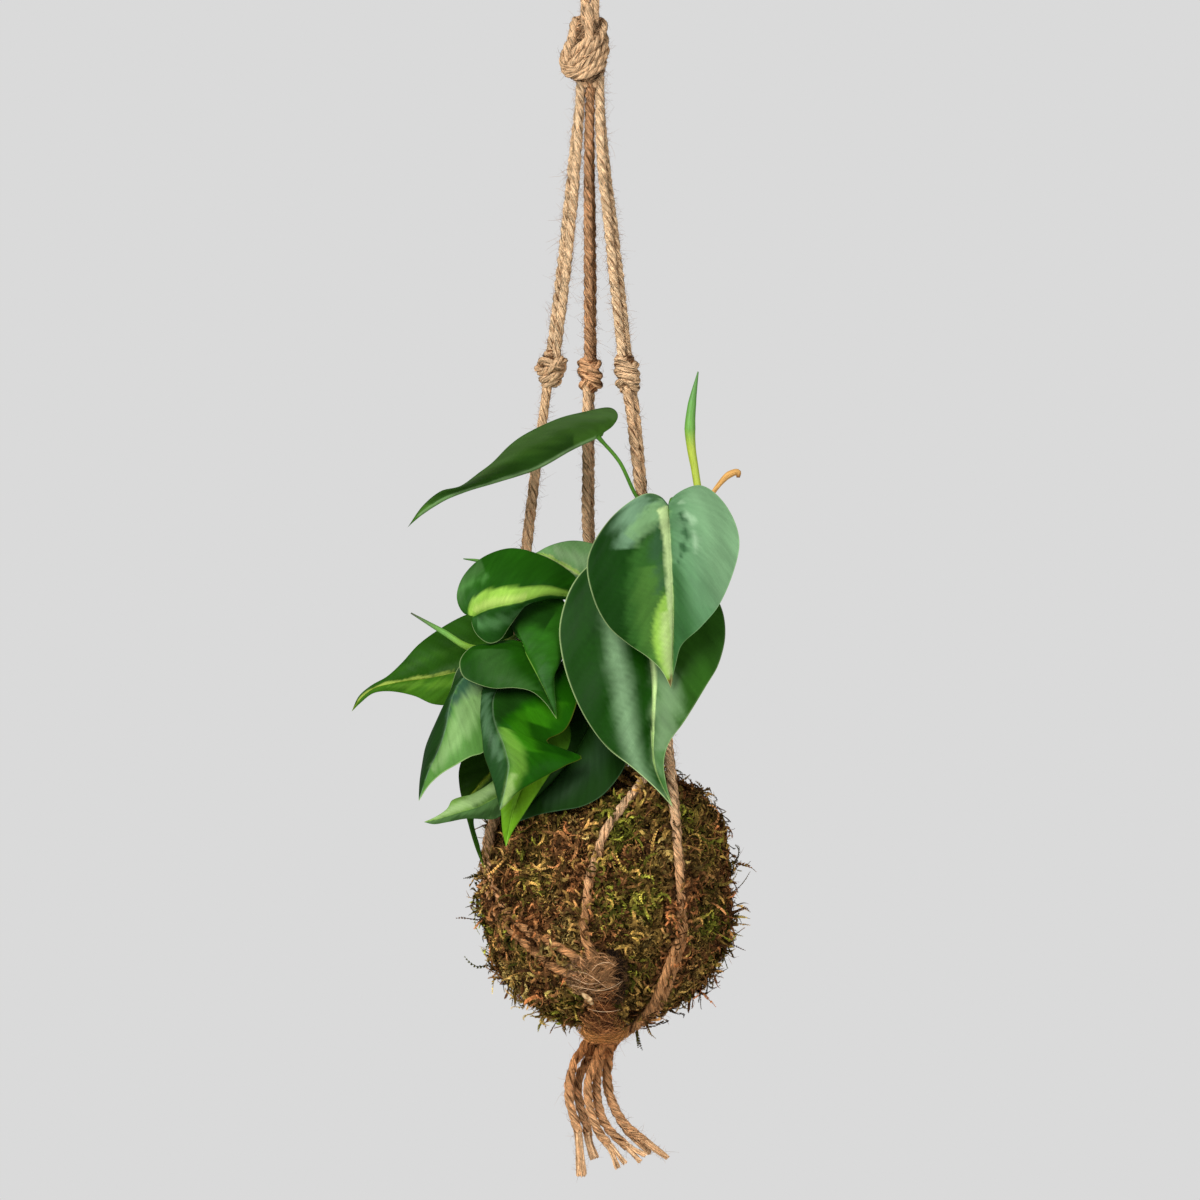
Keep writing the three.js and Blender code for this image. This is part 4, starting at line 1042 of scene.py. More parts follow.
FRONT_TUFTS = [  # each with its fibres, how bright it is and whether it has a core
    # grey fibres where the left strands come in
    ([
        (-3, -56.6, -505, 2.6, 1.6), (-4.4, -56, -510, 5, 2.8), (-4.4, -55, -516, 5.6, 2.8),
        (-2.6, -53, -523, 3.4, 2),
    ], 420, np.array([1.0, 1.06, 1.16]), False),
    # a darker tuft to the right
    ([
        (10.6, -57, -502, 2, 1.6), (12.6, -57, -509, 3.6, 2.6), (13, -55.6, -518, 3.8, 2.6),
        (12.8, -52, -527, 2.6, 2),
    ], 420, 0.16, True),
    # the drawn-in part below it
    (FRONT_KNOT_MASS[3:], 450, np.array([0.95, 0.75, 0.6]), True),
    # loose turns round the knot itself
    ([
        (4.8, -57, -506, 5.8, 4.4), (5.4, -57.4, -510, 7.0, 5.8), (5.6, -57, -516, 7.0, 5.8),
        (5.8, -55.4, -521, 6, 4.6),
    ], 110, 1.2, False),
    # turns where it is drawn in under the ball, painted pale to stand in for light where the ball shades it
    ([
        (6.8, -34, -538.4, 6.2, 4.2), (6.6, -26, -541.2, 7, 4.4), (6.6, -17, -542.6, 7.8, 3.4),
    ], 700, np.array([2.4, 2.1, 1.5]), True),
]
STALK = [  # a bit of pale stalk caught in it
    (-3.4, -57.4, -523, 0.8, 0.7), (-2.2, -58, -524, 1.8, 1.3), (-0.4, -57.6, -526, 2.0, 1.5),
    (1, -56.6, -528.2, 0.9, 0.8),
]
knot(
    "front_net_knot", "low", front_knot, FRONT_KNOT_MASS[:5], 560, 480, 0.52, "jute_on_ball", 8.0, 5.0,
    FRONT_TUFTS, STALK, spread=1.6, thick=0.2, loft=0.2,
)
LOOSE_FIBRES = [  # long pale ones that cross the knot
    [
        (-9, -58.6, -519), (-2, -62, -520.6), (5.8, -64.4, -521.4), (11, -62.8, -519.8),
        (15.4, -59.6, -517.2),
    ],
    [(-7.6, -58, -512.6), (-2, -61.4, -513.4), (3, -63.6, -516.4), (8, -63.8, -520.4)],
    [(-1, -54.4, -530.4), (4, -56.4, -531.6), (9, -55.6, -531.8), (14.4, -51, -531)],
    [(-10, -57.4, -514.6), (-5, -60.4, -517), (-1, -62.4, -518.4), (4, -63.4, -518)],
    [(12, -60.4, -510), (9, -62.8, -508.2), (4, -63.4, -509), (1, -62.6, -512)],
]
for route in LOOSE_FIBRES:
    line = spline(route, 0.8)
    loose["low"].add_hairs(line[None], 0.13 * swell(len(line), 0.5, 2.6)[None], JUTE_LIGHT)

BOTTOM_KNOT = (6.4, -4.4, -543.6)
bottom_knot = wraps(BOTTOM_KNOT, (7.0, 6.2), 2.0, 1.15, -110, -0.14, (-0.5, 0.5), 3.2)
bottom_knot += [
    [(x, y, -543), (x * 0.95, y * 0.95, -549), (x * 0.9, y, -556)]
    for x, y in ((0.5, -7), (1.5, -2.5), (5, -9.5), (6, -4.5), (9.5, -2), (8.6, 2.6))
]
bottom_knot += [
    # the tails' tops, bent out from under the turns
    [
        (10, -12, -550), (6.6, -16.6, -546.6), (2, -17, -546.2), (-1.8, -14.6, -548.4),
        (-3.8, -11.4, -551.8), (-5.4, -9, -555),
    ],
    [(7.6, -11, -545.6), (3.4, -12.4, -547), (0.4, -8.6, -551), (-1.2, -3.2, -556)],
    [(9.6, -13.4, -546), (6.4, -15.6, -548.6), (4.3, -13, -552.4), (3.4, -11, -555.8)],
    [(11.6, -9.6, -543), (12.8, -9, -546.4), (10.8, -7, -549.8), (8.8, -3, -554)],
]
BOTTOM_KNOT_MASS = [
    (6.6, -8, -540, 8.6, 6), (6.6, -5, -542.4, 8.4, 7), (6.4, -4, -544.6, 7, 6), (5.8, -4, -547, 5.2, 4.8),
    (5.2, -4, -550, 4, 4),
]
# the bottom knot's jute is partly darkened with painted shade under the ball
knot(
    "bottom_knot", "low", bottom_knot, BOTTOM_KNOT_MASS, 580, 900, RUDDY_AND_SHADED, "jute_on_ball", 6.5, 3.6,
    spread=1.0, thick=0.18, loft=0.1,
)

for area, shape in loose.items():
    piece(f"jute_fuzz_{area}", shape, FUZZ)

# ---------------------------------------------------------------- stems

STEMS = {
    "right_stem": [
        (14, -2, -440), (15, -2.5, -425), (16.5, -3.5, -410), (22, -6, -380), (31, -8, -348),
        (42, -9.5, -317), (50, -11, -297), (53, -12, -289),
    ],
    "left_stem": [
        (4, -3, -440), (3.5, -4, -425), (2, -5, -408), (-6, -6.5, -388), (-14, -9, -372), (-22, -13, -358),
        (-30, -15.5, -346), (-34, -17.5, -338),
    ],
    "low_stem": [
        (-5, -5, -440), (-5.5, -6.5, -425), (-7.5, -9, -411), (-13, -14, -403), (-21, -18, -399),
        (-30, -22.5, -396),
    ],
}
STEM_NODES = 17.0  # between two rings on a stem


def rod(shape, line, radius, tint, sides=12):
    """A smooth bar with a radius and a colour at every point, closed at both ends."""
    _, first, second = frames(line)
    turn = full_turn(sides)
    rings = line[:, None] + turned(first[:, None], second[:, None], turn) * radius[:, None, None]
    run = distances(line)
    girth = np.broadcast_to(turn * np.mean(radius), (len(line), sides))
    grain = np.stack([np.repeat(run[:, None], sides, 1), girth, np.zeros_like(girth)], axis=-1)
    colours = np.repeat(np.broadcast_to(tint, (len(line), 3)), sides, axis=0)
    shape.add(rings, tube(rings), colours, grain)


for name, points in STEMS.items():
    line = spline(points, 1.0)
    run = distances(line)
    joint = np.abs((run % STEM_NODES) - STEM_NODES / 2)
    radius = STEM_D / 2 * (1 + 0.16 * smoothstep(1.8, 0, joint)) * (1 - 0.12 * run / run[-1])
    tint = mix(srgb(86, 122, 48), BROWN, 0.75 * smoothstep(1.4, 0.2, joint))
    tint = mix(tint, srgb(96, 82, 44), smoothstep(-400, -428, line[:, 2]))
    shape = Shape()
    rod(shape, line, radius, tint)
    piece(name, shape, STEM, [name])

# ---------------------------------------------------------------- leaves

# Each leaf is a heart with a midrib from its base to its tip, and a left and a right edge from the base
# round that side's lobe to the tip. The petiole runs from the base to the stem.
LEAVES = {
    "front_heart_leaf": {
        "rib": [
            (37.4, -46, -291.8), (38.5, -53, -312), (39.7, -57, -340), (39.6, -57.5, -356),
            (38.5, -57, -377.8),
        ],
        "left": [
            (34, -47, -287), (26.9, -49, -285.3), (10.3, -54, -296.6), (-1.2, -57, -316.6),
            (1.5, -60, -334.8), (8.6, -61, -348.4), (17.4, -61, -356.4), (27.8, -60, -363.5),
            (34, -58.5, -369.5),
        ],
        "right": [
            (40, -46.5, -286.5), (52.5, -49, -281.5), (63.6, -53, -289.4), (71, -59, -308.6),
            (62, -64, -337.2), (53.3, -64.5, -348.4), (43.6, -61, -357.5), (41, -58.5, -366),
        ],
        "petiole": [(39, -39, -288), (42, -26, -291), (46.5, -12, -304)],
    },
    "rear_heart_leaf": {
        "rib": [
            (26.4, -39, -331.2), (28.3, -43, -352), (30.8, -48, -375), (30.2, -53, -395), (31, -58, -415),
            (39.4, -62, -434.4),
        ],
        "left": [
            (23, -38, -324), (14, -37, -318.6), (2, -37, -318), (-8.2, -39, -328.3), (-14.4, -42, -347.5),
            (-13.7, -46, -361), (-9.6, -50, -376.3), (-1.4, -54, -393.6), (8.6, -57, -406.6),
            (20.2, -60, -415.7), (30.4, -62, -424.8),
        ],
        "right": [
            (30, -38.5, -325), (38, -39, -320.5), (52, -41, -325), (62, -44, -338), (64.5, -47, -352.3),
            (61.2, -50, -366.7), (55.7, -53, -376.3), (45.1, -57, -393.6), (37.6, -60, -404),
            (35.2, -61, -413), (36.4, -62, -423.5),
        ],
        "petiole": [(22, -35, -327), (17, -26, -326), (20, -14, -333), (30, -8, -350)],
    },
    "high_leaf": {
        "rib": [
            (5.8, -42, -256.8), (-8.6, -43, -263.5), (-25, -44, -272.6), (-45, -45, -279.2),
            (-59, -45, -283.4), (-70, -44, -288), (-80, -43.5, -294.6), (-86.9, -43, -301.4),
        ],
        "left": [
            (9, -38, -252), (12.4, -29, -246.5), (8, -20, -245.5), (-4, -15, -248.5), (-25, -14, -256),
            (-40, -18, -266), (-52, -24, -275.5), (-63, -32, -284.5), (-72, -39, -288.6),
            (-81, -42.3, -294.5),
        ],
        "right": [
            (10.6, -46, -253.4), (13.4, -54, -248.2), (9.6, -61, -244.8), (-6, -67, -247.6),
            (-25, -68, -253.9), (-38.4, -65, -263.5), (-50, -60, -273.5), (-61.4, -53, -281.8),
            (-71, -47, -284.2), (-79.5, -44.5, -291),
        ],
        "petiole": [
            (14, -40, -270), (22.3, -34, -286.6), (31, -32, -297), (38, -23, -306), (43.5, -10, -313),
        ],
    },
    "folded_leaf": {
        "rib": [
            (-55.7, -44, -343.7), (-48, -44.5, -340.2), (-34, -42, -337.2), (-20.6, -37, -333.6),
            (-10, -31, -334.5), (0, -30, -338.4),
        ],
        "left": [
            (-60.2, -43, -342.2), (-63.4, -41, -335.5), (-61.6, -38, -326.7), (-55.5, -35, -318.7),
            (-47.4, -33, -313.6), (-37.3, -32, -311.2), (-25.2, -31, -313.6), (-15, -30, -318.5),
            (-5, -29.5, -327),
        ],
        "right": [
            (-56.2, -45, -347.5), (-53.5, -45, -353), (-48.1, -44, -356.6), (-43, -42, -355),
            (-38.7, -39, -349), (-33.2, -34.5, -341.6), (-28.6, -30, -336.6), (-22, -28, -335.2),
            (-11, -28.5, -335.8),
        ],
        "petiole": [(-51, -37, -343), (-41, -27, -345), (-31, -15.5, -347)],
    },
    "back_leaf": {
        "rib": [
            (7.2, -22, -332.2), (-5, -23.5, -323.4), (-14.4, -24, -318), (-23.2, -24, -313.9),
            (-29.8, -23, -314.9),
        ],
        "left": [
            (9, -22, -338), (3, -23, -341), (-6, -24, -338), (-14, -25, -331), (-21, -25, -323),
            (-26, -24, -317.5),
        ],
        "right": [
            (12, -20, -330), (14, -18.5, -321), (8, -18, -312), (-0.3, -19, -308.6), (-8, -20, -307.6),
            (-14.4, -21, -308.5), (-20.5, -22, -310.6), (-25.6, -22.6, -313.4),
        ],
        "petiole": [(2, -20, -338), (-8, -15, -354), (-14.5, -9.5, -371)],
    },
    "middle_leaf": {
        "rib": [
            (-31.9, -38, -356.6), (-30.6, -41, -361), (-26.5, -47, -369.1), (-21.1, -51.5, -380),
            (-15.8, -54, -392.7),
        ],
        "left": [
            (-38, -37.5, -355), (-48, -38.5, -357), (-56.5, -41, -358.4), (-62, -45, -365),
            (-60.6, -49, -372.2), (-54, -52, -375.6), (-46, -53.5, -377.6), (-36, -54.5, -377.6),
            (-28, -54.5, -379.4), (-21.6, -54.5, -384.6),
        ],
        "right": [
            (-35.5, -35, -352.5), (-38, -29.5, -346), (-36.5, -25, -339), (-31, -23, -334.2),
            (-25, -22.8, -332), (-19, -23.8, -332.6), (-14, -25.3, -334.6), (-11, -29.5, -339.6),
            (-9.4, -34.5, -346.5), (-10.8, -38, -357.6), (-14.4, -41, -365.2), (-16.8, -45, -371.4),
            (-17, -49, -378), (-16.3, -52.2, -385.4),
        ],
        "petiole": [(-30, -33, -357), (-25, -24, -360), (-20, -12.5, -361)],
    },
    "pointed_leaf": {
        "rib": [
            (-44, -24, -366), (-62, -27, -370), (-76, -29, -373), (-91, -30, -375.2), (-103, -31.5, -378.2),
            (-109, -32, -382.6), (-113.8, -32, -389.3),
        ],
        "left": [
            (-41, -25.5, -372), (-44, -27.5, -380), (-54, -29.5, -385.6), (-66.7, -30.5, -386.4),
            (-75.4, -31, -385.6), (-84, -31, -381.8), (-96, -31.6, -379.6), (-103.6, -32, -380.6),
            (-109.4, -32.2, -385),
        ],
        "right": [
            (-37.8, -20.6, -357.6), (-36.6, -17.2, -350), (-38.4, -15.2, -343.4), (-46, -15.6, -339.8),
            (-58, -17.6, -342.6), (-70, -20, -348.5), (-81.6, -23, -357.1), (-90, -26, -366.2),
            (-97, -29, -372.6), (-104.4, -31, -376.8), (-110.4, -31.8, -382),
        ],
        "petiole": [(-35, -22, -368), (-25, -17, -370), (-14.5, -9, -370.5)],
    },
    "drooping_leaf": {
        "rib": [
            (-54, -33, -368), (-62, -38.5, -375), (-66.2, -42.5, -384), (-68.3, -45, -395.5),
            (-71, -47, -404.9), (-77, -48, -418), (-81.5, -47, -431.8),
        ],
        "left": [
            (-57.6, -33, -364.6), (-63, -34.6, -368.6), (-66.6, -35.6, -379), (-71, -36, -390),
            (-75.5, -35, -399), (-78.6, -35, -407), (-80.2, -38, -415), (-81.2, -43, -423.5),
        ],
        "right": [
            (-50, -33, -364.6), (-44.6, -33, -368), (-40.6, -35, -377), (-39.4, -42, -389),
            (-43.2, -49.5, -401), (-50.9, -54, -408.6), (-57, -55, -410.6), (-64, -54, -414.6),
            (-71, -51.6, -419), (-77, -49, -424.8),
        ],
        "petiole": [(-44, -31, -371.5), (-32, -26, -378.5), (-18, -15, -386), (-8.5, -7.5, -384)],
    },
    "torn_leaf": {
        "rib": [
            (-42, -38, -375.4), (-46, -46, -382.6), (-46.1, -54, -390), (-44.2, -60, -397),
            (-40.6, -64, -406.3), (-38.7, -66, -414), (-39.4, -67, -421), (-42.7, -66, -435.8),
        ],
        "left": [
            (-45, -38, -372.4), (-50.4, -42, -376.4), (-52, -50, -385.3), (-52, -56, -394),
            (-51, -60, -402.7), (-50.4, -62, -409), (-47.5, -64, -417.6), (-44.9, -65.5, -426),
        ],
        "right": [
            (-38, -36, -371.4), (-29, -35, -367.5), (-18, -34.5, -364.5), (-8.5, -37, -368.5),
            (-5.6, -42, -379), (-7.6, -47.5, -389.5), (-12, -53, -398), (-20.5, -57.6, -402.9),
            (-16, -57, -406.4), (-3.6, -56, -410.6), (-12, -61, -415), (-24, -65, -421.2),
            (-34, -67, -427.2), (-39, -67, -432.4),
        ],
        "petiole": [(-36, -34.5, -378), (-29, -28, -386), (-21, -18.5, -398)],
    },
    "hanging_tip_leaf": {
        "rib": [
            (-22, -39, -393), (-27, -49, -408), (-32, -55, -424), (-37, -57.5, -438), (-39.9, -58, -453.4),
        ],
        "left": [
            (-26, -38, -388.6), (-34, -41, -390.4), (-40, -46, -398), (-44, -51, -409), (-44.6, -55, -422),
            (-42.4, -57, -436), (-41.6, -58, -446),
        ],
        "right": [
            (-18.6, -38, -389), (-12, -39.6, -391.6), (-9, -44, -400), (-12, -50, -410), (-19, -54.6, -419),
            (-25, -57, -428), (-31.5, -58, -438), (-37, -58.2, -446.6),
        ],
        "petiole": [(-20, -32, -393.5), (-16.5, -23, -397), (-13, -14, -402.5)],
    },
    "ball_leaf": {
        "rib": [
            (4.8, -25, -386.4), (-2, -35, -400), (-12, -43, -416), (-26, -43, -431), (-40.3, -36, -443.5),
        ],
        "left": [
            (1, -23, -382.6), (-7, -24.6, -383.4), (-15, -30, -390.4), (-25, -36, -402),
            (-33.6, -39.6, -416), (-39, -39, -430),
        ],
        "right": [
            (8.4, -24, -384.4), (14.6, -28, -391), (17.2, -34, -402), (17, -41, -413.6),
            (12.6, -46.6, -421.6), (5, -51, -429.6), (-4, -53, -434.2), (-14, -51, -436.2),
            (-24, -47, -438.2), (-33.4, -41.4, -441.4),
        ],
        "petiole": [(5.2, -20, -389), (4.6, -13, -397), (2.2, -5.5, -406)],
    },
    "wavy_leaf": {
        "rib": [
            (-40.4, -40, -427.8), (-46, -42, -430.8), (-52.8, -43.5, -434.4), (-61.4, -45, -437),
            (-70, -45.5, -439.6), (-79.1, -45, -441.8),
        ],
        "left": [
            (-39.6, -40.6, -431), (-41, -41.5, -437), (-45, -43, -440.2), (-51.5, -44.5, -440.4),
            (-59, -45.5, -440.2), (-67.7, -46, -441.8), (-74.4, -45.6, -442.8),
        ],
        "right": [
            (-38.6, -39, -424), (-39.6, -38, -420.4), (-44, -38, -421), (-50.9, -39.5, -425.6),
            (-57, -41, -428.8), (-62, -41.5, -430), (-65.8, -42.5, -431.6), (-68, -44, -435.4),
            (-73, -45, -439),
        ],
        "petiole": [(-37.4, -38, -422), (-31.5, -30, -411), (-26.5, -20.5, -397.5)],
    },
    "drip_tip_leaf": {
        "rib": [
            (-41.5, -29, -409), (-48, -30, -419), (-54, -31, -425.5), (-58.2, -31, -431.5),
            (-57.2, -31, -440), (-53.5, -29, -454.6), (-50.6, -27, -464.6),
        ],
        "left": [
            (-43.5, -28.5, -404.6), (-51, -28.5, -403.4), (-58.6, -29, -408), (-62.4, -30, -416.4),
            (-62.4, -30.8, -424.4), (-60.8, -31, -432.4), (-58.8, -31, -440.4), (-54.7, -29.2, -454.4),
        ],
        "right": [
            (-38.2, -29, -406.6), (-35.2, -29.4, -411.6), (-37.4, -30, -421), (-44.6, -31.2, -429.6),
            (-51, -31.6, -434.6), (-55.4, -31.2, -440.4), (-52.4, -29, -454.8),
        ],
        "petiole": [(-38, -27.5, -404), (-33, -25, -399), (-28, -21, -396.5)],
    },
}

# How each leaf looks. Left and right are the colours of its two halves, and under of its lower face. The
# rib has a colour, half its width and its strength. The margin has a colour, a width and its strength on the
# left and the right. A patch is a colour, how strong it is, how soft and how jagged its border is, and its
# borders in millimetres across from the midrib, left below zero, at places from the base at 0 to the tip
# at 1. Plain is how much of the lower face has the colour under, where that isn't PLAIN.
LOOKS = {
    "front_heart_leaf": {
        # the right half's colour is painted sheen, a reflection, over the leaf's green
        "left": srgb(22, 62, 12), "right": srgb(98, 144, 98), "under": MEDIUM, "rib": (PALE, 0.45, 0.4),
        "margin": (PALE, 0.42, 0.6, 0.15), "bulge": 2.6,
        "patches": [
            # painted reflection: a sheen on the upper left lobe
            (srgb(120, 158, 122), 0.85, 6, 3, [
                (0.0, -14, -1), (0.1, -21, -2), (0.2, -25, -4), (0.3, -26, -10), (0.4, -24, -19),
            ]),
            (srgb(56, 104, 40), 0.8, 2.4, 1.2, [
                (0.27, -4, 0), (0.33, -11, 0), (0.40, -16, 0), (0.44, -20, 0), (0.48, -20, 0),
                (0.52, -21, 0), (0.56, -22.5, 0), (0.60, -23, 0), (0.66, -24, 0), (0.75, -23, 0),
                (0.8, -21, 0), (0.84, -18, 0), (0.9, -13, 0), (0.97, -2, 0),
            ]),
            (srgb(84, 130, 54), 0.6, 3.5, 1, [
                (0.5, -16, -3), (0.62, -19, -3), (0.75, -18, -2), (0.86, -14, -1), (0.94, -6, 0),
            ]),
            (srgb(56, 92, 62), 0.7, 3, 3, [
                (0.24, -7, -3), (0.32, -10, -3), (0.42, -10, -3.5), (0.54, -8, -4), (0.62, -6, -5),
            ]),
            (srgb(132, 176, 112), 0.6, 2.2, 3, [
                (0.06, -8, 0), (0.14, -12, 0), (0.2, -15, -2), (0.26, -17, -4), (0.31, -19, -8),
                (0.36, -19, -14), (0.4, -18, -16),
            ]),
            (srgb(30, 72, 26), 0.7, 1.2, 3, [
                (0.02, -9, -5), (0.1, -12, -7), (0.16, -13, -10), (0.2, -13, -12),
            ]),
            # the right half: a broad painted sheen, a reflection, that fades out downwards, with creases near
            # the midrib
            (srgb(134, 172, 128), 0.6, 9, 1, [(0.0, 8, 60), (0.3, 12, 60), (0.5, 16, 60), (0.66, 22, 60)]),
            (srgb(50, 100, 46), 0.85, 6, 1, [
                (0.5, 0, 4), (0.62, -2, 9), (0.74, -2, 14), (0.86, -4, 14), (1.0, -4, 10),
            ]),
            (srgb(38, 84, 42), 0.9, 1.2, 1.6, [
                (0.2, 6.6, 7.8), (0.28, 7.4, 9.4), (0.36, 7, 9.6), (0.44, 5, 7), (0.5, 3, 4),
            ]),
            (srgb(156, 192, 150), 0.8, 1.2, 1.6, [
                (0.14, 7.4, 8.6), (0.26, 10.4, 12), (0.36, 12, 13.6), (0.46, 12, 13),
            ]),
            (LIME, 0.95, 1.4, 0.3, [
                (0.60, 0, 0), (0.65, -6.0, 0), (0.70, -9.4, 0), (0.75, -10.6, 0), (0.8, -10.8, 0),
                (0.855, -9.4, 0), (0.905, -6.4, 0), (0.954, -3.5, 0), (1, -1, 0),
            ]),
            (PALE, 0.95, 0.8, 0.45, [
                (0.03, -1, 0), (0.12, -4, 0), (0.17, -7, 0), (0.21, -5.5, 0), (0.26, -5, 0), (0.32, -4, 0),
                (0.385, -3.4, 0), (0.5, -3, 0), (0.6, -3.2, 0), (0.7, -3, 0), (0.8, -2, 0), (0.9, -1.6, 0),
                (1, -0.6, 0),
            ]),
            (srgb(206, 232, 150), 0.75, 2.4, 1, [
                (0.7, -6, -2), (0.8, -7, -2), (0.88, -5, -1), (0.95, -3, 0),
            ]),
            (BROWN, 0.9, 0.7, 0.8, [(0.95, 0, 0), (0.972, -3, 2), (1.0, -3, 3)]),
        ],
    },
    "rear_heart_leaf": {
        "left": srgb(22, 66, 6), "right": srgb(46, 90, 24), "under": MEDIUM, "rib": (PALE, 0.5, 0.6),
        "margin": (PALE, 0.55, 0.75, 0.25), "bulge": 3.2,
        "patches": [
            # painted highlight: a satin streak down the left half
            (srgb(144, 182, 134), 0.85, 5, 1, [
                (0.3, -20, -17), (0.42, -21, -14), (0.58, -20, -12), (0.74, -16, -9), (0.88, -10, -6),
                (0.97, -5, -4),
            ]),
            (srgb(86, 128, 84), 0.25, 5, 1, [(0.02, -18, -4), (0.12, -26, -10), (0.24, -30, -22)]),
            (srgb(116, 150, 102), 0.9, 4, 2, [
                (0.45, 0, 0), (0.55, 0, 12), (0.68, 0, 14), (0.78, 0, 12), (0.88, 0, 7), (0.97, 0, 1),
            ]),
            (srgb(52, 108, 34), 0.6, 3, 1, [(0.82, 3, 12), (0.9, 1, 9), (0.98, 0, 3)]),
            (PALE, 0.95, 0.3, 0.12, [
                (0.1, -0.8, 0.8), (0.5, -1.3, 1.3), (0.7, -1.1, 1.1), (0.9, -0.8, 0.8), (1, -0.6, 0.6),
            ]),
            (srgb(160, 110, 80), 0.7, 0.5, 0.5, [(0.985, 0, 0), (1, -3, 3)]),
        ],
    },
    "high_leaf": {
        "left": srgb(74, 118, 40), "right": srgb(74, 118, 40), "under": srgb(72, 112, 46),
        "rib": (MEDIUM, 0.6, 0.5),
        "margin": (srgb(30, 60, 16), 0.5, 0.5, 0.5), "bulge": 1.6, "plain": 0.1,
        "patches": [
            (srgb(106, 146, 78), 0.6, 3, 2, [
                (0.1, -34, -14), (0.35, -34, -17), (0.6, -30, -14), (0.85, -14, -6),
            ]),
            (srgb(106, 146, 78), 0.6, 3, 2, [(0.1, 14, 34), (0.35, 17, 34), (0.6, 14, 30), (0.85, 6, 14)]),
            (srgb(38, 76, 20), 0.85, 5, 2, [(0.3, -9, 9), (0.5, -11, 11), (0.75, -9, 9), (0.9, -4, 4)]),
            (srgb(148, 184, 124), 0.9, 0.5, 0.2, [
                (0.12, -0.7, 0.8), (0.4, -0.8, 0.9), (0.6, -0.7, 0.8), (0.95, -0.4, 0.5),
            ]),
        ],
    },
    "folded_leaf": {
        "left": srgb(32, 84, 12), "right": srgb(34, 82, 22), "under": MEDIUM, "rib": (LIME, 0.5, 0.5),
        "margin": (PALE, 0.4, 0.1, 0.45), "bulge": 3.0,
        "patches": [
            (srgb(92, 134, 76), 0.5, 5, 2, [
                (0.0, -20, -5), (0.12, -22, -10), (0.24, -24, -15), (0.36, -26, -19),
            ]),
            (srgb(84, 138, 66), 0.5, 1.6, 1.6, [
                (0.05, -14, -11), (0.16, -16.5, -14.5), (0.3, -16, -14), (0.4, -15, -13.6),
            ]),
            (srgb(92, 142, 84), 0.6, 2.4, 1.2, [
                (0.12, 3, 7), (0.24, 4, 9), (0.36, 5, 10), (0.5, 5, 9), (0.66, 3, 6),
            ]),
            (srgb(156, 204, 78), 1.0, 0.7, 0.2, [
                (0.02, -1.5, 0.4), (0.1, -4, 0.3), (0.2, -7, 0), (0.35, -8.4, 0), (0.5, -7.4, 0),
                (0.65, -5, 0), (0.8, -3, 0.2), (1, -1.2, 0.5),
            ]),
            (srgb(198, 228, 116), 0.7, 1.4, 0.4, [
                (0.12, -3, -1), (0.3, -4, -0.6), (0.45, -4, -0.6), (0.6, -3, -0.6),
            ]),
        ],
    },
    "back_leaf": {
        "left": srgb(120, 160, 108), "right": srgb(118, 164, 100), "under": MEDIUM, "rib": (LIME, 0.8, 0.7),
        "margin": (GREEN, 0.4, 0.3, 0.5), "bulge": 2.0,
        "patches": [
            (srgb(150, 180, 130), 0.6, 2.5, 1.5, [(0.2, 2, 8), (0.5, 3, 10), (0.8, 2, 6)]),
            (srgb(196, 212, 130), 0.9, 0.5, 0.5, [(0.05, -1.2, 0.9), (0.5, -1.6, 0.9), (0.9, -0.9, 0.6)]),
        ],
    },
    "middle_leaf": {
        "left": srgb(26, 74, 6), "right": srgb(42, 98, 20), "under": MEDIUM, "rib": (LIME, 0.4, 0.5),
        "margin": (PALE, 0.4, 0.5, 0.15), "bulge": 2.6,
        "patches": [
            (srgb(72, 116, 56), 0.45, 5, 1, [(0.3, -24, -10), (0.5, -24, -10), (0.8, -12, -4)]),
            # painted shadow of the folded leaf on the right lobe near the base
            (srgb(22, 56, 12), 0.85, 4, 1, [
                (0.06, 2, 30), (0.16, 9, 30), (0.26, 13, 30), (0.36, 16, 30), (0.44, 17, 30),
            ]),
            (srgb(60, 104, 52), 0.6, 3, 1, [(0.6, 0, 8), (0.8, 0, 6), (0.95, 0, 2)]),
        ],
    },
    "pointed_leaf": {
        "left": srgb(62, 110, 22), "right": srgb(40, 84, 14), "under": srgb(70, 112, 36),
        "rib": (YELLOW, 0.5, 0.4),
        "margin": (OLIVE, 0.4, 0.2, 0.2), "bulge": 2.2,
        "patches": [
            (srgb(84, 122, 66), 0.6, 2.4, 1, [(0.05, 0, 3), (0.3, 0.5, 5), (0.5, 0.5, 3), (0.6, 0.4, 1.6)]),
            (srgb(60, 108, 26), 0.5, 1.6, 1.6, [(0.2, 9, 12), (0.4, 10, 13), (0.6, 8, 10.5), (0.8, 4, 5)]),
            (srgb(98, 146, 40), 0.6, 1.6, 1.6, [(0.2, -9, -5), (0.5, -7, -3), (0.8, -3, -1)]),
            (srgb(178, 200, 90), 0.85, 0.35, 0.4, [(0.45, 0.2, 1.2), (0.7, 0.1, 1.1), (0.95, 0, 0.6)]),
        ],
    },
    "drooping_leaf": {
        # its left half, the back one, is painted darker than its own green for the shade it lies in
        "left": srgb(30, 62, 22), "right": srgb(92, 144, 64), "under": MEDIUM, "rib": (SILVER, 0.6, 0.8),
        "margin": (PALE, 0.5, 0.3, 0.5), "bulge": 2.0,
        "patches": [
            (srgb(52, 90, 66), 0.95, 1.6, 1.6, [
                (0.0, 0, 30), (0.18, 0, 30), (0.28, 0, 16), (0.4, 0, 8), (0.5, 0, 2.4), (0.62, 0, 0),
            ]),
            (srgb(46, 104, 20), 0.85, 1.8, 2, [
                (0.2, 14, 24), (0.32, 15, 28), (0.42, 17, 29), (0.5, 20, 29), (0.56, 22, 28),
            ]),
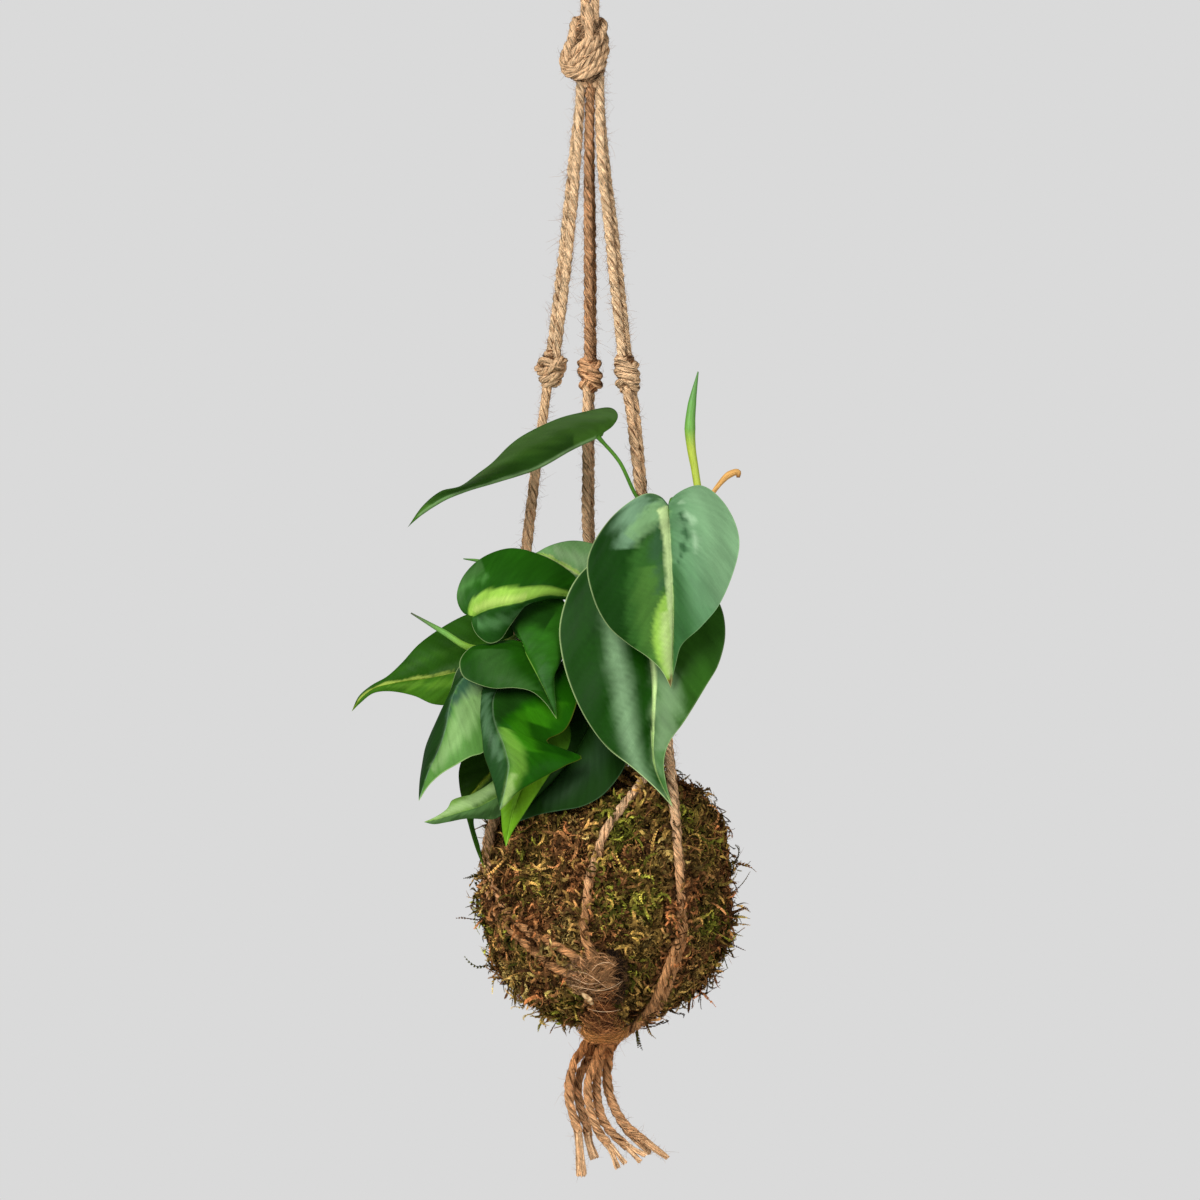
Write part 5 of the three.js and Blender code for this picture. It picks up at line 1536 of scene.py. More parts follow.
            (srgb(152, 190, 120), 0.6, 3, 1.6, [
                (0.3, 7, 13), (0.42, 5, 17), (0.55, 3, 16), (0.7, 2, 10), (0.85, 1, 4),
            ]),
            (srgb(112, 150, 84), 0.5, 1.0, 1.2, [(0.4, 9, 11), (0.55, 8, 10.5), (0.7, 5, 7)]),
        ],
    },
    "torn_leaf": {
        "left": srgb(36, 74, 32), "right": srgb(28, 86, 4), "under": srgb(60, 110, 30),
        "rib": (srgb(132, 168, 120), 0.6, 0.9),
        "margin": (BROWN, 0.35, 0.1, 0.35), "bulge": 2.4,
        "patches": [
            (srgb(92, 130, 92), 0.6, 2.5, 1.6, [(0.25, -7, -2), (0.5, -8, -2), (0.75, -5, -1)]),
            # painted shade on the right lobe near the base, where it lies behind the middle leaf
            (srgb(24, 60, 12), 0.97, 2.4, 1.6, [
                (0.0, 0, 44), (0.2, 0, 40), (0.3, 0, 26), (0.4, 0, 14), (0.5, 0, 6), (0.6, 0, 0),
            ]),
            (srgb(52, 122, 10), 0.75, 3, 1.4, [
                (0.38, 24, 36), (0.45, 12, 30), (0.6, 6, 24), (0.72, 6, 18),
            ]),
            (srgb(18, 66, 2), 0.9, 2.4, 1.2, [(0.5, 16, 30), (0.6, 18, 34), (0.7, 16, 34)]),
            (srgb(124, 176, 64), 0.6, 2.4, 1.0, [
                (0.58, 1, 6), (0.7, 0.5, 9), (0.82, 0.5, 8), (0.97, 0, 3),
            ]),
            (srgb(168, 200, 120), 0.7, 1.4, 1.2, [(0.84, 0.5, 4), (0.92, 0, 4), (1, 0, 1.5)]),
        ],
    },
    "hanging_tip_leaf": {
        "left": srgb(102, 156, 28), "right": srgb(104, 158, 28), "under": LIME, "rib": (LIME, 0.5, 0.6),
        "margin": (GREEN, 0.5, 0.3, 0.3), "bulge": 2.0,
        "patches": [(srgb(24, 58, 12), 0.8, 3, 2, [(0.0, -30, 30), (0.4, -20, 20), (0.5, 6, 14)])],
    },
    "ball_leaf": {
        "left": srgb(26, 56, 14), "right": srgb(28, 60, 18), "under": GREEN, "rib": (MEDIUM, 0.4, 0.4),
        "margin": (SILVER, 0.4, 0.3, 0.3), "bulge": 3.2,
        "patches": [(srgb(44, 68, 42), 0.6, 5, 1, [(0.3, 6, 16), (0.5, 7, 18), (0.8, 3, 9)])],
    },
    "wavy_leaf": {
        "left": srgb(78, 114, 60), "right": srgb(114, 154, 70), "under": LIME, "rib": (LIME, 0.4, 0.5),
        "margin": (GREEN, 0.3, 0.4, 0.3), "bulge": 1.6,
        "patches": [
            (srgb(60, 96, 44), 0.6, 1.0, 1.4, [(0.1, 1, 5), (0.4, 0.6, 4), (0.6, 0.3, 1)]),
            (srgb(168, 200, 132), 0.7, 1.6, 0.8, [
                (0.2, 3, 8), (0.5, 1.5, 7), (0.8, 0.5, 4), (0.95, 0, 1.5),
            ]),
            (srgb(46, 76, 34), 0.8, 1.2, 1, [(0.15, -9, -4), (0.5, -8, -4), (0.75, -5, -2)]),
        ],
    },
    "drip_tip_leaf": {
        "left": srgb(46, 82, 16), "right": srgb(38, 76, 14), "under": GREEN, "rib": (YELLOW, 0.7, 0.8),
        "margin": (DEEP, 0.4, 0.3, 0.3), "bulge": 2.0,
        "patches": [(srgb(150, 180, 60), 0.8, 0.8, 0.5, [
            (0.3, -0.4, 1.6), (0.6, -0.4, 1.4), (0.72, -0.3, 0.8),
        ])],
    },
}

PLAIN = 0.8
BLADE_ROWS = 76
HALF_COLUMNS = 22
VEIN_PITCH = 6.5
FULL_WIDTH = 22.0  # half a blade's width at which it is domed in full
BORDER_STREAKS = [(0.65, 0.06), (0.25, 0.02), (0.1, 0.008)]  # the share and the size of each
FAR_OUTSIDE = -9.0  # what stands for far outside a patch
VEIN_RUN = 110.0  # how far across a vein would reach on its way from the base to the tip


def curve_at(points, shares):
    line = spline(points, 0.4)
    run = distances(line)
    return along(line, run, shares * run[-1])


def stripe(table, u, across, jag, seed):
    """How far inside a patch each point lies, in millimetres, with a border that runs out in streaks."""
    places, low, high = np.array(table, float).T
    vein = u[:, None] - np.abs(across)[:, None] / VEIN_RUN
    streaks = [share * ripple(vein, size, seed + i) for i, (share, size) in enumerate(BORDER_STREAKS)]
    edge = jag * sum(streaks)
    inside = np.minimum(across - np.interp(u, places, low) - edge, np.interp(u, places, high) - across - edge)
    outside = (u < places[0]) | (u > places[-1])
    return np.where(outside, FAR_OUTSIDE, inside)


def leaf_tint(look, u, across, inset, seed):
    """A blade's colour: two halves, its patches, the rib, the margin, and fine streaks over them all."""
    colour = mix(look["left"], look["right"], smoothstep(-0.5, 0.5, across))
    for order, (shade, strength, soft, jag, table) in enumerate(look["patches"]):
        inside = stripe(table, u, across, jag, seed + 10 * order)
        colour = mix(colour, shade, strength * smoothstep(-soft, soft, inside))
    shade, wide, strength = look["rib"]
    colour = mix(colour, shade, strength * smoothstep(wide, wide * 0.4, np.abs(across)))
    shade, wide, left, right = look["margin"]
    colour = mix(colour, shade, np.where(across < 0, left, right) * smoothstep(wide, wide * 0.3, inset))
    streaks = ripple(np.stack([u * 90 - np.abs(across) * 0.8, across * 0.12], axis=-1), 1.6, seed + 5)
    mottle = ripple(np.stack([u * 90 - np.abs(across) * 0.6, across], axis=-1), 11, seed + 7)
    return colour * (0.76 + 0.05 * streaks + 0.06 * mottle)[:, None]


def square_to(grid):
    """The directions square to a grid of points, whose first and last rows are each drawn to one point."""
    normal = unit(np.cross(np.gradient(grid, axis=0), np.gradient(grid, axis=1)))
    normal[0], normal[-1] = normal[1], normal[-2]
    return normal


def blade(shape, leaf, look, seed):
    """The leaf's two faces, domed on each side of the midrib, with its rim closed."""
    shares = np.linspace(0, 1, BLADE_ROWS + 1)
    middle = curve_at(leaf["rib"], shares**RIB_CROWDING)
    base, tip = leaf["rib"][0], leaf["rib"][-1]
    left, right = (curve_at([base, *leaf[side], tip], shares) for side in ("left", "right"))
    t = np.linspace(0, 1, HALF_COLUMNS + 1)
    out = 0.35 * t + 0.65 * (0.5 - 0.5 * np.cos(math.pi * t))
    rows = np.concatenate([
        middle[:, None] + (left - middle)[:, None] * out[::-1, None],
        (middle[:, None] + (right - middle)[:, None] * out[:, None])[:, 1:],
    ], axis=1)
    v = np.concatenate([-out[::-1], out[1:]])[None]
    half_widths = [np.linalg.norm(edge - middle, axis=1)[:, None] for edge in (left, right)]
    wide = np.where(v < 0, *half_widths)
    across = v * wide
    inset = (1 - np.abs(v)) * wide
    u = np.broadcast_to(shares[:, None], across.shape)
    near_rib = np.abs(across)
    normal = square_to(rows)
    way = -1 if normal[..., 1].mean() > 0.2 else 1  # a blade's upper face looks to the front
    vein = distances(middle)[:, None] - near_rib
    dome = look["bulge"] * np.sin(math.pi * np.abs(v) ** 0.8)
    wave = 0.5 * ripple(rows, 17, seed) * smoothstep(4, 20, near_rib)
    quilt = 0.1 * np.sin(vein * 2 * math.pi / VEIN_PITCH)
    quilt = quilt * smoothstep(0, 5, near_rib) * smoothstep(0, 4, inset)
    groove = 0.35 * smoothstep(1.4, 0, near_rib) * smoothstep(0, 3, wide)
    relief = (dome + wave) * np.minimum(1, wide / FULL_WIDTH) + quilt - groove
    rows = rows + normal * way * relief[..., None]
    normal = square_to(rows) * way
    thin = BLADE / 2 * (0.5 + 0.5 * smoothstep(0, 1.2, inset)) * smoothstep(-0.4, 1.5, wide)
    keel = 0.5 * smoothstep(1.5, 0, near_rib) * smoothstep(0, 4, wide)
    upper = rows + normal * thin[..., None]
    lower = rows - normal * (thin + keel)[..., None]
    count, columns = across.shape
    index = np.arange(count * columns).reshape(count, columns)
    rim = [
        np.stack([edge[:-1], edge[1:], edge[1:] + index.size, edge[:-1] + index.size], axis=-1)
        for edge in (index[:, 0], index[:, -1], index[0], index[-1])
    ]
    top = lattice(count, columns, closed=False)
    faces = [group[:, ::way] for group in (top, top[:, ::-1] + index.size, *rim)]
    face_tint = leaf_tint(look, u.ravel(), across.ravel(), inset.ravel(), seed)
    under = mix(face_tint, look["under"] * 0.76, np.full(index.size, look.get("plain", PLAIN)))
    grain = np.stack([vein, across, np.full_like(across, seed)], axis=-1).reshape(-1, 3)
    upper, lower = upper.reshape(-1, 3), lower.reshape(-1, 3)
    shape.add(np.vstack([upper, lower]), faces, np.vstack([face_tint, under]), np.vstack([grain, grain]))
    return upper


leaf_points = []
for order, (name, leaf) in enumerate(LEAVES.items()):
    shape = Shape()
    leaf_points.append(blade(shape, leaf, LOOKS[name], 700 + 40 * order))
    base = np.array(leaf["rib"][0])
    inward = base + 2.5 * unit(np.array(leaf["rib"][1]) - base)
    line = spline([inward, *leaf["petiole"]], 0.8)
    run = distances(line)
    thickness = 1 - 0.25 * smoothstep(0, 6, run) + 0.2 * smoothstep(run[-1] - 7, run[-1], run)
    tint = mix(srgb(86, 136, 48), GREEN, smoothstep(0, run[-1], run) * 0.5)
    rod(shape, line, PETIOLE_D / 2 * thickness, tint)
    piece(name, shape, LEAF, [name])

# ---------------------------------------------------------------- young growth

SHOOTS = {  # route, thickness and colour at each of its points
    "rolled_leaf": (
        [
            (53, -12, -288.2), (51.6, -12, -281.8), (50.2, -12, -273), (48.6, -12, -263.5),
            (47.9, -12, -254), (48.9, -12, -242), (51.8, -12, -226.6),
        ],
        [3.6, 3.6, 3.7, 4.3, 5.3, 4, 0.6],
        [YELLOW, YELLOW, YELLOW, YELLOW, srgb(104, 160, 60), srgb(92, 150, 60), srgb(70, 120, 44)],
    ),
    "left_sheath": (
        [
            (-28, -16.5, -350), (-34, -20, -353), (-45, -28, -358), (-57, -33.5, -358.8),
            (-70, -36, -351.2), (-85.4, -38, -342.2),
        ],
        [2.4, 2.6, 2.8, 3.4, 2.8, 0.7],
        [MEDIUM, MEDIUM, YELLOW, srgb(128, 172, 50), srgb(104, 160, 66), srgb(66, 72, 50)],
    ),
    "small_sheath": (
        [
            (-34.4, -18, -337.4), (-37, -19.5, -332), (-45, -22, -323), (-52, -24.5, -317.8),
            (-60.5, -26, -316.3),
        ],
        [2.6, 2.6, 2.4, 2, 0.5],
        [MEDIUM, MEDIUM, MEDIUM, srgb(104, 160, 66), MEDIUM],
    ),
    "dry_sheath": (
        [
            (55.2, -12.9, -290), (58, -14.4, -286), (62, -14, -280.5), (66.6, -14, -276),
            (70.8, -14, -274.8), (71, -14, -277.4),
        ],
        [2, 2, 2.4, 3.4, 3, 1.6],
        [BROWN, HUSK, HUSK, HUSK, HUSK, BROWN],
    ),
}

for name, (points, sizes, colours) in SHOOTS.items():
    line = spline(points, 0.6)
    run = distances(line)
    marks = [run[np.argmin(np.linalg.norm(line - np.array(point), axis=1))] for point in points]
    radius = np.interp(run, marks, sizes) / 2
    tint = np.stack([np.interp(run, marks, np.array(colours)[:, k]) for k in range(3)], axis=-1)
    shape = Shape()
    rod(shape, line, radius, tint, 16)
    skin, slot = (HUSK_SKIN, "husk") if name == "dry_sheath" else (STEM, "new_green")
    piece(name, shape, skin, [name])

# ---------------------------------------------------------------- moss

OLIVE_MOSS = srgb(138, 108, 54)
GREEN_MOSS = srgb(112, 112, 38)
YELLOW_MOSS = srgb(190, 162, 92)
BROWN_MOSS = srgb(126, 86, 50)
RUST_MOSS = srgb(130, 82, 46)
# near black: partly the dead moss's own brown, partly painted shade for the gaps between the fronds
DEAD_MOSS_AND_GAP_SHADE = srgb(30, 19, 9)
PALEST_MOSS = srgb(214, 186, 112)
MOSS_TOP = -395.0  # no frond reaches higher
NOISE_RADIUS = 60.0  # of the round ball that the moss's lumps are worked out on
FROND_POINTS = 10
LEAFLETS = 12  # pairs on a scaly frond
LEAF_GAP = 1.8  # between a frond and a leaf
DENTS = [  # azimuth, elevation, how wide and how deep the ball is pressed in
    (90, -3, 26, 2.0), (90, -55, 24, 4.0), (-82, 25, 20, 3.0),
]


def clumps(directions):
    """From 0 in the hollows of the moss to 1 on its tufts."""
    at = directions * NOISE_RADIUS
    return smoothstep(-0.9, 1.1, 0.7 * ripple(at, 11, 931, 14) + 0.5 * ripple(at, 5.5, 932, 14))


def surface(directions):
    """How far the matted moss lies from the ball's middle, with its lumps and dents."""
    far = reach(directions) + 3.4 * clumps(directions) - 2.2
    for azimuth, elevation, wide, deep in DENTS:
        apart = np.degrees(np.arccos(np.clip(directions @ bearing(azimuth, elevation), -1, 1)))
        far = far - deep * np.exp(-((apart / wide) ** 2))
    return far


def scatter(count, seed):
    """Directions spread evenly over the ball, a little out of step."""
    rng = np.random.default_rng(seed)
    order = np.arange(count) + 0.5
    height = 1 - 2 * order / count
    turn = order * math.pi * (1 + math.sqrt(5))
    level = np.sqrt(1 - height**2)
    spread = np.stack([level * np.cos(turn), level * np.sin(turn), height], axis=-1)
    return unit(spread + rng.normal(0, 1.6 / math.sqrt(count), (count, 3)))


def moss_tint(points, rng):
    """The moss grows in patches: yellow-green, olive, brown and rust, and each frond is its own shade. Low on
    the left it is painted lighter, for the light thrown up from the floor.
    """
    count = len(points)
    patch = ripple(points, 22, 901) + rng.normal(0, 0.6, count)
    brown = ripple(points, 16, 905) + rng.normal(0, 0.6, count)
    colour = mix(OLIVE_MOSS, GREEN_MOSS, smoothstep(0.1, 1.2, patch))
    colour = mix(colour, YELLOW_MOSS, 0.8 * smoothstep(0.8, 1.9, -patch))
    colour = mix(colour, BROWN_MOSS, smoothstep(-0.2, 0.7, brown))
    colour = mix(colour, RUST_MOSS, smoothstep(0.9, 1.6, brown))
    bright = rng.choice([0.3, 0.7, 1.4, 2.5], count, p=[0.32, 0.32, 0.23, 0.13])
    # painted light: lighter low down on the left, as if lit from the floor below
    dry = 1 + 0.55 * smoothstep(-505, -530, points[:, 2]) * smoothstep(8, -8, points[:, 0])
    return np.minimum(colour * (rng.uniform(0.7, 1.2, count) * bright * dry)[:, None], PALEST_MOSS)


def nearness(points):
    """A tree that finds the nearest of some points."""
    tree = KDTree(len(points))
    for order, point in enumerate(points):
        tree.insert(point, order)
    tree.balance()
    return tree


def keep_clear(lines, near_cords, near_leaves):
    """Which fronds stay clear of the cords and the leaves."""
    seen = []
    for name, line in cord_lines.items():
        if name.startswith("net"):
            continue
        up = np.degrees(np.arcsin(unit(line - BALL)[:, 2]))
        grown_over = name.startswith("left") & (up > HIDDEN[0]) & (up < HIDDEN[1])
        seen.append(line[~grown_over])
    cords = nearness(np.vstack(seen))
    blades = np.vstack(leaf_points)
    leaves = nearness(blades[blades[:, 2] < MOSS_TOP][::3])
    return np.array([
        all(cords.find(point)[2] > near_cords for point in frond[2:])
        and all(leaves.find(point)[2] > near_leaves for point in frond[1::2])
        for frond in lines
    ])


def frond_lines(directions, lift, length, rise, curl, rng, stray=0.9):
    """Curled lines that start at the moss, leave it at an angle and bend over."""
    count = len(directions)
    normal = outward(directions)
    root = BALL + directions * (surface(directions) + lift)[:, None]
    lay = np.stack([ripple(root, 18, seed) for seed in (911, 912, 913)], axis=-1)
    heading = flattened(lay + rng.normal(0, stray, (count, 3)), normal)
    side = np.cross(normal, heading)
    swing = rng.choice([-1, 1], count) * np.abs(rng.normal(2.4, 1.5, count))
    lines = [root]
    step = (length / (FROND_POINTS - 1))[:, None]
    for i in range(1, FROND_POINTS):
        share = i / (FROND_POINTS - 1)
        tilt = rise - curl * share
        yaw = swing * share**1.2
        lines.append(lines[-1] + step * turned(turned(heading, side, yaw), normal, tilt))
    lines = np.stack(lines, axis=1)
    away = lines - BALL
    far = np.linalg.norm(away, axis=-1)
    floor = surface(away / far[..., None]) + 0.4
    low = np.maximum(floor - far, 0) * (np.arange(FROND_POINTS) > 0)
    return lines + away / far[..., None] * low[..., None]


def from_neck(points):
    return np.hypot(points[..., 0] - NECK[0], points[..., 1] - NECK[1])


def scattered_outside_neck(count, seed):
    """Directions spread evenly over the ball, without those in the neck."""
    directions = scatter(count, seed)
    apart = from_neck(BALL + directions * reach(directions)[:, None])
    return directions[(apart > NECK_RADIUS - 1.5) | (directions[:, 2] < 0.5)]


def base_moss():
    """The matted moss under the fronds, with the neck open."""
    rows, columns = 150, 300
    up = np.linspace(-90, 90, rows + 1)[:, None]
    directions = bearing(np.linspace(0, 360, columns, endpoint=False), up)
    flat = directions.reshape(-1, 3)
    far = surface(flat) + 0.5 * ripple(flat * NOISE_RADIUS, 2.4, 922) - 0.4
    outer = (BALL + flat * far[:, None]).reshape(directions.shape)
    sunk = smoothstep(NECK_RADIUS, NECK_RADIUS - 4, from_neck(outer)) * (outer[..., 2] > BALL[2])
    outer[..., 2] -= NECK_DEPTH * sunk
    # painted shade: the matted moss is near black between the fronds, a little browner on the tufts
    tint = mix(DEAD_MOSS_AND_GAP_SHADE, BROWN_MOSS, 0.15 * smoothstep(0.3, 1.0, clumps(flat)))
    tint = mix(tint.reshape(directions.shape), srgb(30, 20, 13), sunk)
    shape = Shape()
    shape.add(outer, [lattice(rows + 1, columns)], tint.reshape(-1, 3))
    piece("moss_mat", shape, MOSS_SKIN, ["moss_cover"])


def fading(colour, low, high, steps):
    """Each frond's colour at places along it, darker at its root than at its tip: partly the tips' own paler
    growth, partly painted shade low in the moss and painted highlights on the tips.
    """
    return np.repeat(colour[:, None], steps, axis=1) * np.linspace(low, high, steps)[None, :, None]


def scaly(lines, wide, rng):
    """Scaly fronds: a thin axis with short pointed leaflets that lie close along both its sides."""
    count, steps = lines.shape[:2]
    colour = moss_tint(lines[:, 0], rng)
    shape = Shape()
    axis = np.broadcast_to(np.linspace(0.24, 0.1, steps), (count, steps))
    # painted shade towards the root, painted light towards the tip
    shape.add_hairs(lines, axis, fading(colour, 0.3, 0.9, steps))
    tangent = unit(np.gradient(lines, axis=1))
    roll = rng.normal(0, 0.5, (count, 1)) + np.linspace(-0.6, 0.6, steps) * rng.normal(0, 1, (count, 1))
    flat = unit(np.cross(tangent, unit(lines - BALL)))
    up = np.cross(flat, tangent)
    across, lift = turned(flat, up, roll), turned(up, -flat, roll)
    at = np.linspace(0.3, steps - 1.15, LEAFLETS)
    low = np.floor(at).astype(int)
    part = (at - low)[None, :, None]
    root = lines[:, low] * (1 - part) + lines[:, low + 1] * part
    heading, side, lift = tangent[:, low], across[:, low], lift[:, low]
    taper = swell(LEAFLETS, 0.7, 2.75)[None, :, None] * rng.uniform(0.8, 1.25, (count, 1, 1)) * wide
    for way in (1, -1):
        jut = unit(heading * 2.4 + way * side + lift * rng.normal(0.2, 0.3, (count, LEAFLETS, 1)))
        half = unit(np.cross(jut, lift)) * taper * 0.36
        tip = root + jut * taper * 1.35 - lift * 0.15
        middle = root + jut * taper * 0.55 + lift * 0.22
        diamonds = np.stack([root, middle + half, tip, middle - half], axis=2).reshape(-1, 4, 3)
        shade = np.repeat(colour[:, None], LEAFLETS, axis=1) * rng.uniform(0.6, 1.45, (count, LEAFLETS, 1))
        # leaflets painted darker near the root and with painted highlights near the tip
        shade = shade * np.linspace(0.22, 2.1, LEAFLETS)[None, :, None]
        shape.add_alike(diamonds, [(0, 1, 2, 3)], np.repeat(shade.reshape(-1, 3), 4, axis=0))
    return shape


def dry_curls(lines, wide, rng):
    """Dry brown stems and shreds of moss, flat ribbons that curl."""
    count, steps = lines.shape[:2]
    colour = mix(moss_tint(lines[:, 0], rng), srgb(146, 96, 56), rng.uniform(0.2, 0.9, count))
    tangent = unit(np.gradient(lines, axis=1))
    across = unit(np.cross(tangent, unit(lines - BALL)) + rng.normal(0, 0.5, (count, 1, 3)))
    ragged = rng.uniform(0.6, 1.3, (count, steps, 1)) * swell(steps, 0.5, 2.9)[None, :, None] * wide * 0.5
    edges = np.stack([lines + across * ragged, lines - across * ragged], axis=2).reshape(count, -1, 3)
    # painted shade towards the root, painted light towards the tip
    tone = fading(colour, 0.5, 1.3, steps)
    shape = Shape()
    shape.add_alike(edges, lattice(steps, 2, closed=False), np.repeat(tone.reshape(-1, 3), 2, axis=0))
    return shape


def moss_layer(name, kind, count, seed, length, rise, wide, near, stray=0.9):
    """A layer of fronds over the whole ball, longer and more upright on the tufts than in the hollows."""
    rng = np.random.default_rng(seed)
    directions = scattered_outside_neck(count, seed)
    tuft = clumps(directions)
    keep = rng.uniform(0, 1, len(directions)) < 0.6 + 0.4 * tuft
    directions, tuft = directions[keep], tuft[keep]
    count = len(directions)
    size = rng.uniform(*length, count) * (0.75 + 0.45 * tuft)
    up = rng.uniform(*rise, count) * (0.5 + 0.8 * tuft)
    curl = rng.normal(1.5, 0.9, count)
    lines = frond_lines(directions, -0.6, size, up, curl, rng, stray)
    kept = keep_clear(lines, near, LEAF_GAP)
    piece(name, kind(lines[kept], wide, rng), MOSS_SKIN)


def leaflets(name, count, seed, length, rise, near):
    """Short loose leaflets, bent in the middle, that fill the moss between the fronds."""
    rng = np.random.default_rng(seed)
    directions = scattered_outside_neck(count, seed)
    count = len(directions)
    normal = outward(directions)
    root = BALL + directions * (surface(directions) + rng.uniform(-0.6, 0.5, count))[:, None]
    heading = flattened(rng.normal(0, 1, (count, 3)), normal)
    side = np.cross(normal, heading)
    size = rng.uniform(*length, count)[:, None]
    up = rng.uniform(*rise, count)
    over = up - rng.uniform(0.2, 1.6, count)
    middle = root + size * 0.5 * turned(heading, normal, up)
    veer = unit(heading + side * rng.normal(0, 0.6, (count, 1)))
    tip = middle + size * 0.5 * turned(veer, normal, over)
    half = unit(side + normal * rng.normal(0, 0.5, (count, 1))) * rng.uniform(0.16, 0.42, (count, 1))
    ends = ((root, 0.5), (middle, 1), (tip, 0.25))
    points = np.stack([place + way * wide * half for place, wide in ends for way in (-1, 1)], 1)
    kept = keep_clear(np.stack([root, middle, tip], 1), near, LEAF_GAP / 2)
    points = points[kept]
    colour = moss_tint(root, rng)[kept]
    # painted shade at the root and painted highlight at the tip of each leaflet
    shade = np.repeat([0.1, 0.6, 1.6], 2)[None, :, None] * rng.choice([0.6, 1.0, 1.5], (len(points), 1, 1))
    shape = Shape()
    shape.add_alike(points, [(0, 1, 3, 2), (2, 3, 5, 4)], (colour[:, None] * shade).reshape(-1, 3))
    piece(name, shape, MOSS_SKIN)


GROWN_OVER = [
    # strand, elevations between which moss has grown over it, fronds to a millimetre, how far off its middle
    ("left", *HIDDEN, 8.0, 1.7),
    ("left", -32, HIDDEN[0], 4.0, 2.0),
    ("left_inner", -25, -13, 9.0, 1.8),
    ("front", -24, 56, 4.0, 2.0),
    ("right", 8, 40, 3.0, 2.2),
    ("right", -20, 8, 9.0, 2.2),
    ("right", -50, -20, 2.5, 2.4),
    ("right", -64, -50, 9.0, 2.4),
]


def overgrowth(name, seed):
    """Moss that has grown over the strands where they lie on the ball, or lies against their sides."""
    rng = np.random.default_rng(seed)
    starts = []
    for strand_name, line in cord_lines.items():
        up = np.degrees(np.arcsin(unit(line - BALL)[:, 2]))
        for start, low, high, per_mm, off in GROWN_OVER:
            stretch = line[(up > low) & (up < high) & strand_name.startswith(start)]
            count = int(len(stretch) * PLY_STEP * per_mm)
            if count:
                starts.append(stretch[rng.integers(0, len(stretch), count)] + rng.normal(0, off, (count, 3)))
    count = 420  # at the front knot's sides
    down = rng.uniform(0.2, 0.9, count)
    middle, edge = swollen(FRONT_KNOT_MASS, rng.choice([0.25, math.pi - 0.25], count), down)
    starts.append(middle + edge * rng.uniform(0.9, 1.4, (count, 1)) + rng.normal(0, 0.8, (count, 3)))
    path = np.vstack(starts)
    directions = unit(path - BALL)
    far = np.linalg.norm(path - BALL, axis=1)
    lift = np.maximum(far - surface(directions), 0) * rng.uniform(0.5, 1.0, len(far))
    size = rng.uniform(4, 9, len(far))
    rise, curl = rng.uniform(0.1, 0.7, len(far)), rng.normal(1.0, 0.6, len(far))
    lines = frond_lines(directions, lift, size, rise, curl, rng)
    lines = lines[keep_clear(lines, CORD_D / 2, LEAF_GAP)]
    for first, part in enumerate("ab"):
        piece(f"{name}_{part}", scaly(lines[first::2], 1.1, rng), MOSS_SKIN)


base_moss()
MOSS_LAYERS = {
    # kind, count, seed, length, rise, width, how near a cord, how far they stray from the lay
    "moss_fronds_low_a": (scaly, 2300, 941, (5, 11), (0.2, 0.8), 1.2, 1.5),
    "moss_fronds_low_b": (scaly, 2300, 944, (5, 11), (0.2, 0.8), 1.2, 1.5),
    "moss_fronds_middle_a": (scaly, 2300, 942, (5, 13), (0.4, 1.1), 1.3, 1.9, 0.6),
    "moss_fronds_middle_b": (scaly, 2300, 945, (5, 13), (0.4, 1.1), 1.3, 1.9, 0.6),
    "moss_fronds_high": (scaly, 2200, 943, (7, 17), (0.4, 1.1), 1.45, 2.4, 0.4),
    "moss_shreds": (dry_curls, 4200, 951, (5, 13), (0.2, 1.0), 0.55, 2.0),
}
for name, layer in MOSS_LAYERS.items():
    moss_layer(name, *layer)
MOSS_LEAFLETS = {
    # count, seed, length, rise, how near a cord
    "moss_leaflets_a": (36000, 971, (1.2, 3.0), (0.1, 1.0), 1.3),
    "moss_leaflets_b": (30000, 972, (1.8, 4.2), (0.3, 1.3), 1.6),
}
for name, layer in MOSS_LEAFLETS.items():
    leaflets(name, *layer)
overgrowth("moss_overgrowth", 961)

# ---------------------------------------------------------------- soil

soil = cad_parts["soil_ball"]
soil.data.materials.clear()
soil.data.materials.append(SOIL)


def crumbs(count, seed):
    """Loose crumbs of soil in the moss's neck, round the stems."""
    rng = np.random.default_rng(seed)
    level = np.sqrt(rng.uniform(0, 1, count)) * (NECK_RADIUS + 1)
    turn = rng.uniform(0, 2 * math.pi, count)
    x, y = NECK[0] + level * np.cos(turn), NECK[1] + level * np.sin(turn)
    size = 0.5 + rng.exponential(0.55, count)
    aside = np.minimum(np.hypot(x - BALL[0], y - BALL[1]) / SOIL_BALL[0], 0.99)
    z = BALL[2] + SOIL_BALL[1] * (1 - aside**SHOULDER) ** (1 / SHOULDER) + 0.2 * size
    corners = unit(np.array([
        (1, 1, 1), (-1, -1, 1), (-1, 1, -1), (1, -1, -1), (0.2, 0.3, 1.5), (-0.2, 0.1, -1.4),
        (1.4, 0.1, 0.2), (-1.3, 0.3, -0.2),
    ]))
    triangles = np.array([
        (4, 1, 3), (4, 3, 6), (4, 6, 0), (4, 0, 7), (4, 7, 1), (0, 6, 2), (0, 2, 7), (5, 3, 1), (5, 1, 7),
        (5, 7, 2), (5, 2, 6), (5, 6, 3),
    ])
    rough = rng.uniform(0.7, 1.3, (count, 8, 1))
    points = np.stack([x, y, z], axis=-1)[:, None] + corners[None] * rough * size[:, None, None]
    shape = Shape()
    shape.add_alike(points, triangles, srgb(70, 50, 34))
    piece("soil_crumbs", shape, SOIL)


crumbs(700, 961)

